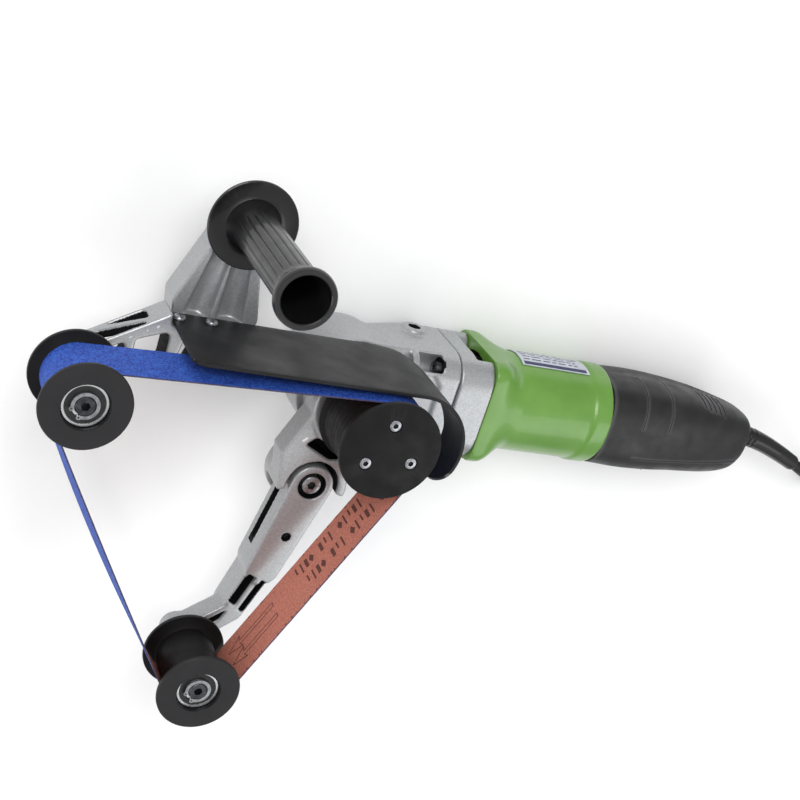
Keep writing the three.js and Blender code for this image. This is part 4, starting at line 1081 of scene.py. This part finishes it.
def make_bearing_plate():
    step, end = 84, COLLAR_START - GAP
    body = square_along_x(HEAD_HALF, HEAD_CORNER, HEAD_END + GAP, step + 1)
    # On the front and the back the casting runs on to the collar; air enters between the posts.
    bridges = [block((step, -28, MOTOR_Z + side * 25), (end, 28, MOTOR_Z + side * HEAD_HALF))
               for side in (-1, 1)]
    fuse(body, *corner_rods(9.5, step, end, 36), *bridges)
    common(body, square_along_x(HEAD_HALF, HEAD_CORNER, HEAD_END, COLLAR_START))
    soften(body, 0.8, 4)
    start = HEAD_END - 1
    relief = lathe([(17, 79.5), (24, 79.5), (24, 88), (17, 88)], (0, 0, MOTOR_Z), "x", 60)
    carve(body, motor_rod(BEARING_SEAT, start, start + 10.3, 60), motor_rod(9, start, start + 22, 48), relief,
          *corner_rods(BOLT_HOLE, start, start + 30, 24))
    soften(body, 0.7, 1)
    place(body, "bearing_end_plate", "bearing_plate", CAST, sharp=80)


# ---- Motor housing and nameplate ----


def divided(outline, longest):
    """A closed outline with points added so that no edge is longer than the given length."""
    made = []
    for a, b in zip(outline, outline[1:] + outline[:1]):
        a, b = Vector(a), Vector(b)
        pieces = max(1, ceil((b - a).length / longest))
        made += [tuple(a.lerp(b, i / pieces)) for i in range(pieces)]
    return made


def make_motor_housing():
    collar = divided(rounded_square(HEAD_HALF, 11, 24), 1.5)
    stations = 26
    rings = []
    for k in range(stations + 1):
        x = COLLAR_START + (FLARE_END + 6 - COLLAR_START) * k / stations
        run = ease((x - COLLAR_START - 7) / (FLARE_END - COLLAR_START - 5))
        ring = []
        for y, z in collar:
            radius = hypot(y, z)
            limited = min(radius, 51.5)
            share = (limited + (BARREL_RADIUS - limited) * run) / radius
            ring.append((x, y * share, MOTOR_Z + z * share))
        rings.append(ring)
    band = BARREL_RADIUS + 1.4
    barrel = lathe([
        (0, FLARE_END), (BARREL_RADIUS, FLARE_END), (BARREL_RADIUS, BARREL_END - 15),
        (BARREL_RADIUS + 0.98, BARREL_END - 14.3), (band, BARREL_END - 13.4), (band, BARREL_END - 1),
        (band - 0.6, BARREL_END - 0.2), (BARREL_RADIUS - 0.2, BARREL_END), (0, BARREL_END),
    ], (0, 0, MOTOR_Z), "x", 120)
    body = soften(fuse(loft(rings), barrel), 1.0, 5)
    bore_start = COLLAR_START - 1
    carve(body, motor_rod(BARREL_RADIUS - 3.2, bore_start, bore_start + BARREL_END - 90, 96))
    inside = BARREL_RADIUS - 2
    web = lathe([(14, 190), (inside, 190), (inside, 193), (14, 193)], (0, 0, MOTOR_Z), "x", 72)
    holders = [block((176.5, side * 13, MOTOR_Z - 6), (191, side * 31.5, MOTOR_Z + 6)) for side in (1, -1)]
    fuse(body, web, *holders)
    carve(body, block((178.7, -27, MOTOR_Z - 4.3), (185.3, 27, MOTOR_Z + 4.3)),
          *corner_rods(BOLT_HOLE, bore_start, bore_start + 14, 24))
    place(body, "motor_shell", "motor_housing", GREEN, sharp=50)


def make_nameplate():
    """A foil label with a heading bar and rows of bars in place of words."""
    low, high = box("nameplate")
    inner = BARREL_RADIUS + GAP

    def patch(start, end, low_x, high_x, base, thick):
        """A curved tile on the barrel, between two angles from +Y towards +Z."""
        axis = (0, MOTOR_Z)
        arc = circle(axis, base, 24, start, end) + circle(axis, base + thick, 24, end, start)
        return prism(arc, low_x, high_x, "x")

    first, last = -31, 20
    plate = dress(patch(first, last, low.x, high.x, inner, 0.5), [FOIL, INK])
    bars = [(last - 7, last - 1.6, low.x + 2, high.x - 2)]
    draw = random.Random(11)
    for row in range(6):
        angle = last - 11 - row * 6.4
        x = low.x + 3
        while x < high.x - 8:
            reach = draw.uniform(2.5, 8)
            bars.append((angle - 2, angle, x, x + reach))
            x += reach + draw.uniform(1.2, 2.6)
    add_marks(plate, [patch(*bar, inner + 0.3, 0.22) for bar in bars], [FOIL, INK])
    place(plate, "rating_label", "nameplate", None)


# ---- Tail ----

TAIL_START = BARREL_END + GAP
TAIL_TAPER = [(BARREL_END, 33.5), (228, 34.5), (255, 33.6), (284, 30.8), (309, 26.6), (327, 22.6),
              (TAIL_END, 18.5)]      # x of each station and the half width there
TAIL_POWER = 2.9                         # 2 would be a round section, and more is squarer
SWITCH_X = 254


def tail_half(x):
    """The tail's half width at x, on a smooth curve through its stations."""
    spots = TAIL_TAPER
    k = next((k for k, (end, _) in enumerate(spots[1:]) if x <= end), len(spots) - 2)
    (x0, h0), (x1, h1) = spots[k], spots[k + 1]

    def slope(k):
        before, after = spots[max(k - 1, 0)], spots[min(k + 1, len(spots) - 1)]
        return (after[1] - before[1]) / (after[0] - before[0])

    t = min(1, max(0, (x - x0) / (x1 - x0)))
    m0, m1 = slope(k) * (x1 - x0), slope(k + 1) * (x1 - x0)
    return ((2 * t**3 - 3 * t**2 + 1) * h0 + (t**3 - 2 * t**2 + t) * m0
            + (3 * t**2 - 2 * t**3) * h1 + (t**3 - t**2) * m1)


def tail_form(grow, start=TAIL_START, end=TAIL_END, count=96):
    """The tail's outside, grown or shrunk. It is fuller towards -Y near its end, which is rounded."""
    stations = 60
    rings = []
    for k in range(stations + 1):
        x = start + (end - start) * k / stations
        half = tail_half(x) + grow
        if grow == 0:
            half -= 0.054 * max(0, 6 - (end - x)) ** 2
        fuller = 6.5 * ease((x - 268) / 56)
        ring = []
        for c, s in ((cos(a), sin(a)) for a in around(count)):
            r = half / (abs(c) ** TAIL_POWER + abs(s) ** TAIL_POWER) ** (1 / TAIL_POWER)
            ring.append((x, (r + fuller * max(0, -c)) * c, MOTOR_Z + r * s))
        rings.append(ring)
    return loft(rings)


def make_tail():
    # The end is cut off askew on the -Y side.
    askew = prism([(TAIL_END + 1.7, -1), (360, -1), (360, -60), (311, -60)], -20, 100)
    body = carve(tail_form(0), askew, tail_form(-3.2, BARREL_END + 21, TAIL_END - 15, 64))
    screws = [centre("tail_screw_1"), centre("tail_screw_2")]
    fuse(body, *[common(upright(4.8, at, -5, 85), tail_form(-1, count=48)) for at in screws])
    tools = [
        motor_rod(28, BARREL_END - 1, BARREL_END + 7), motor_rod(11.3, BARREL_END, BARREL_END + 18),
        motor_rod(6, BARREL_END + 14, BARREL_END + 34), motor_rod(7, TAIL_END - 15, TAIL_END + 5),
        block((SWITCH_X - 13, -50, MOTOR_Z - 3.6), (SWITCH_X + 5, -20, MOTOR_Z + 3.6)),
    ]
    for at in screws:
        tools += [upright(1.9, at, 12, 54, 20), upright(3.8, at, -10, 12, 28)]
    # Lines and air slots are cut only as deep as a thin skin.
    skin = carve(tail_form(1), tail_form(-0.45, TAIL_START - 1, TAIL_END + 1))
    cuts = [prism([(229, -17.5), (343, -13), (343, -13.9), (229, -18.6)], MOTOR_Z, 100)]
    cuts += [block((x, 6, MOTOR_Z + 2), (x + 0.8, 60, 100)) for x in (229, 252)]
    for x in range(284, 305, 5):
        cuts += [block((x, 10, MOTOR_Z + side * 2), (x + 2, 60, MOTOR_Z + side * 22)) for side in (1, -1)]
    carve(body, *tools, common(skin, fuse(*cuts)))
    front = linked("front", body.data.copy())
    common(front, block((200, -60, MOTOR_Z + GAP / 2), (360, 60, 100)))
    common(body, block((200, -60, -10), (360, 60, MOTOR_Z - GAP / 2)))
    for shell, side in ((front, "front"), (body, "back")):
        round_edges(shell, 0.45, 2, 50)
        place(shell, f"tail_{side}", f"tail_shell_{side}", CHARCOAL, sharp=40)


def make_switch():
    low, high = box("slide_switch")
    out = low.y
    plate = round_edges(block((low.x, out + 1.2, MOTOR_Z - 6), (high.x, out + 3.6, MOTOR_Z + 6)), 0.8, 3)
    ribs = []
    for x in (low.x + 3.2 + 3.3 * i for i in range(6)):
        outline = [(x, out + 1.6), (x + 0.5, out), (x + 1.4, out), (x + 1.9, out + 1.6)]
        ribs.append(round_edges(prism(outline, MOTOR_Z - 5, MOTOR_Z + 5), 0.2, 1))
    stem = block((SWITCH_X - 4, out + 3, MOTOR_Z - 3), (SWITCH_X + 4, high.y, MOTOR_Z + 3))
    place(fuse(plate, stem, *ribs), "switch_button", "slide_switch", HANDLE, "switch_slider")


# ---- Arm casting ----

HOOD_RADIUS, HOOD_BORE = 24.5, 18.6
LUG_TURN = -32                           # degrees from +X to the clamp's lug
RAIL_SLOPE = 0.632


def contains(outline, x, y, grow):
    """Whether a point is inside an outline that has been scaled about its middle."""
    mx = sum(p[0] for p in outline) / len(outline)
    my = sum(p[1] for p in outline) / len(outline)
    x, y = mx + (x - mx) / grow, my + (y - my) / grow
    inside = False
    for (ax, ay), (bx, by) in zip(outline, outline[1:] + outline[:1]):
        if (ay > y) != (by > y) and x < ax + (bx - ax) * (y - ay) / (by - ay):
            inside = not inside
    return inside


def from_pivot(x, y):
    return hypot(x - PIVOT.x, y - PIVOT.y)


def make_arm():
    hub = upright(34, (0, 0), 72, 94, 72)
    lug = turn(block((32, -8, 78), (48, 8, 91.8)), LUG_TURN)
    beam = prism([(0, 34.4), (-136.5, 34.4), (-137.5, 43), (-148, 36), (-186, 12), (-190, -4), (-150, 1),
                  (-30, 1), (0, -10)], 59.7, 84)
    post = prism([(-135, 46), (-131, 20), (-80, 20), (-77, 40), (-85, 78), (-87, 112), (-100, 118),
                  (-113, 112), (-119, 86)], 40, 65.7)
    mouth = [(PIVOT.x + x, PIVOT.y + y) for x, y in ((0, 0), (-60, -14), (-40, -60), (40, -60), (60, -14))]
    hood_wall = carve(upright(HOOD_RADIUS, PIVOT, 60, ARM_FRONT, 60), upright(HOOD_BORE, PIVOT, 64, 104, 60),
                      prism(mouth, 64, 100))
    bracket = prism([(-32, -5), (-46, -38), (-42, -62), (-30, -62), (2, -58), (12, -35)], 72, ARM_FRONT)
    body = fuse(hub, lug, beam, upright(12, UPPER, ARM_BACK, 97), post, upright(14, GRIP, 40, 70, 48),
                upright(HOOD_RADIUS, PIVOT, 58, 64, 60), hood_wall, bracket)
    # The post's front is fluted by two long hollows that run from the beam to the handle's flange.
    flutes = [
        long_rod((-118, 36, 66.5), (-107, 104, 66.5), 8.6, 5),
        long_rod((-96.5, 36, 67), (-97, 104, 67), 8.8, 5.4),
    ]
    windows = [
        [(-176, 11), (-163, 19), (-160, 6), (-174, 5)],
        [(-156, 22), (-139, 29), (-136, 28), (-136, 6), (-156, 6)],
        [(-126, 28), (-114, 28), (-120, 6), (-130, 6)],
        [(-102, 28), (-74, 28), (-84, 6), (-112, 6)],
        [(-68, 28), (-44, 28), (-44, 8), (-52, 6), (-78, 6)],
    ]
    # The sloping rail's upper face is hollowed, but for a rim and one diagonal rib.
    rail = prism([(-186, 2), (-148, 26), (-148, 60), (-186, 60)], 59, 85)
    hollows = fuse(prism([(62.2, -173), (62.2, -149), (75, -149)], 0, 60, "y"),
                   prism([(66.5, -178), (81.8, -178), (81.8, -151), (78.5, -151)], 0, 60, "y"))
    opening = [(-31, -30), (-24, -24), (-17, -27), (-3, -38), (-12, -39)]
    carve(body, *flutes, common(hollows, rail), prism(opening, 75, 95), *[prism(w, 58, 85) for w in windows])
    soften(body, 0.9, 5)
    split = turn(fuse(block((20, -0.8, 70), (49, 0.8, 95)), rod(2.3, (42, -10, 86.3), 20, "y", 24)), LUG_TURN)
    guard_holes = [rod(2.3, (at.x, 28.5, at.z), 8, "y", 24)
                   for at in (centre("guard_screw_1"), centre("guard_screw_2"))]
    carve(
        body, prism(head_outline(HEAD_HALF + 1), -1, HEAD_FRONT + 2), upright(34, (0, 0), -8.5, 71.5, 72),
        block((HEAD_STEP - 2, -60, -1), (80, 60, HEAD_TOP + 2)),
        upright(NOSE_RADIUS + GAP, (0, 0), 70, 110, 60),
        upright(HOOD_BORE, PIVOT, 64, 104, 60), upright(4.3, PIVOT, 56, 68, 32),
        upright(STUD_HOLE, UPPER, 64, 104, 32), upright(STUD_HOLE, GRIP, 47, 71, 32), split, *guard_holes,
    )
    soften(body, 0.8, 1)

    # Painted shade: near black in the windows, the rail's hollows, the opening, inside the hood and under the
    # hub.
    def deep(x, y, z):
        in_window = 60.8 < z < 82.6 and any(contains(w, x, y, 1.2) for w in windows)
        above_rail = y - (x + 186) * RAIL_SLOPE
        in_rail = -179 < x < -147 and 61.5 < z < 82.5 and 0 < above_rail < 10.4
        in_opening = z < 91 and contains(opening, x, y, 1.15)
        in_hood = from_pivot(x, y) < 19.2 and z < 89
        return in_window or in_rail or in_opening or in_hood or (hypot(x, y) < 33 and z < 71)

    place(dark_where(body, deep), "idler_arm_casting", "arm_frame", None, sharp=80)
    bolt = shift(turn(cap_screw(2, 3.8, 4, 15, 1.8), -90, "X"), 42, 12.3, 86.3)
    place(turn(bolt, LUG_TURN), "clamp_screw", "clamp_bolt", STEEL)


# ---- Swing arm ----

BEND = Vector((-34, -127))
ELBOW = Vector((-46, -163))


def make_swing_arm():
    body = fuse(
        upright(15, PIVOT, ARM_BACK, ARM_FRONT, 60),
        prism(link(PIVOT, 15, BEND, 12), ARM_BACK, ARM_FRONT),
        prism(link(BEND, 9.5, ELBOW, 8), ARM_BACK, ARM_FRONT - 2),
        prism(link(ELBOW, 8, LOWER, 9), ARM_BACK + 6, ARM_FRONT - 2),
        upright(11, LOWER, 70, 97, 48),
    )
    soften(body, 0.8, 14)
    lower = [
        [(-43, -131), (-37, -134), (-45.5, -158), (-51, -155)],
        [(-33, -135), (-28.5, -137), (-38.5, -163), (-42.5, -161)],
        [(-50, -161.5), (-54, -170), (-67, -180.5), (-66.5, -174)],
    ]
    side_slot = [(-54, -65), (-29, -65), (-31, -108), (-56, -111)]
    hole = (-25.2, -100)
    spring_seat = lathe([(8.4, 65), (13.2, 65), (13.2, 81), (8.4, 81)], (*PIVOT, 0), segments=60)
    carve(
        body, prism(link((-24, -92), 9.5, BEND, 8), ARM_BACK + 2, 86), upright(9.8, PIVOT, 84, 94, 60),
        upright(6.8, PIVOT, 60, 90), spring_seat, upright(3.2, hole, 82, 94, 32),
        upright(STUD_HOLE, LOWER, 65, 105, 32), prism(side_slot, 73.5, 80.5),
        *[prism(outline, 80, 93) for outline in lower],
    )
    # A raised lip runs round the pivot's recess.
    lip = [(9.8, 90), (12.2, 90), (11.8, ARM_FRONT - 0.1), (10.6, ARM_FRONT), (9.8, ARM_FRONT - 0.3)]
    fuse(body, lathe(lip, (*PIVOT, 0), segments=60))
    soften(body, 0.7, 2)
    way = (BEND - PIVOT).normalized()

    # Painted shade: near black in the pivot's recess, the small hole, the hollow, the lower pockets and the
    # side slot.
    def deep(x, y, z):
        reach = Vector((x, y)) - PIVOT
        along, aside = reach.dot(way), abs(reach.cross(way))
        near_hole = hypot(x - hole[0], y - hole[1]) < 3.5
        hollow = 24 < along < 76 and aside < 9.6 and 66.5 < z < 87.5
        pocket = 79.5 < z < 88.8 and any(contains(p, x, y, 1.2) for p in lower)
        slot = 73.2 < z < 80.8 and 3 < along < 58 and aside < 14.4 and x < -20
        return (from_pivot(x, y) < 9.9 and z < 90.8) or near_hole or hollow or pocket or slot

    place(dark_where(body, deep), "tension_swing_arm", "swing_arm", None, "tension_arm", 80)


def make_flange():
    ring = lathe([
        (BEARING_SEAT, 56.5), (30.7, 56.5), (30.7, 64.3), (32.6, 64.3), (33, 64.7), (33, 69.6), (32.6, 70),
        (NOSE_RADIUS, 70), (NOSE_RADIUS, 94.5), (NOSE_RADIUS - 0.5, 95), (9.5, 95), (9, 94.5), (9, 69),
        (BEARING_SEAT, 69),
    ], segments=96)
    place(ring, "bearing_flange", "spindle_flange", CAST)


# ---- CAD nodes that keep their shape ----

KEPT = {
    "spindle": STEEL, "spindle_bush": BRONZE, "spindle_bearing": STEEL, "crown_gear": DARK_STEEL,
    "pinion": DARK_STEEL, "front_motor_bearing": STEEL, "rear_motor_bearing": STEEL, "cooling_fan": RUBBER,
    "armature": IRON, "commutator": COPPER, "stator": IRON, "carbon_brush_1": CARBON,
    "carbon_brush_2": CARBON, "switch_body": HANDLE, "pivot_bush": BRONZE, "tension_spring": DARK_STEEL,
}


def dress_kept():
    for node, look in KEPT.items():
        dress(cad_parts[node], [look])


make_screws()
make_drive_roller()
make_idler("upper_idler", "upper_idler", BODY)
make_idler("lower_idler", "lower_idler", "tension_arm")
make_belt()
make_guard()
make_handle()
make_gear_head()
make_bearing_plate()
make_motor_housing()
make_nameplate()
make_tail()
make_switch()
make_arm()
make_swing_arm()
make_flange()
dress_kept()
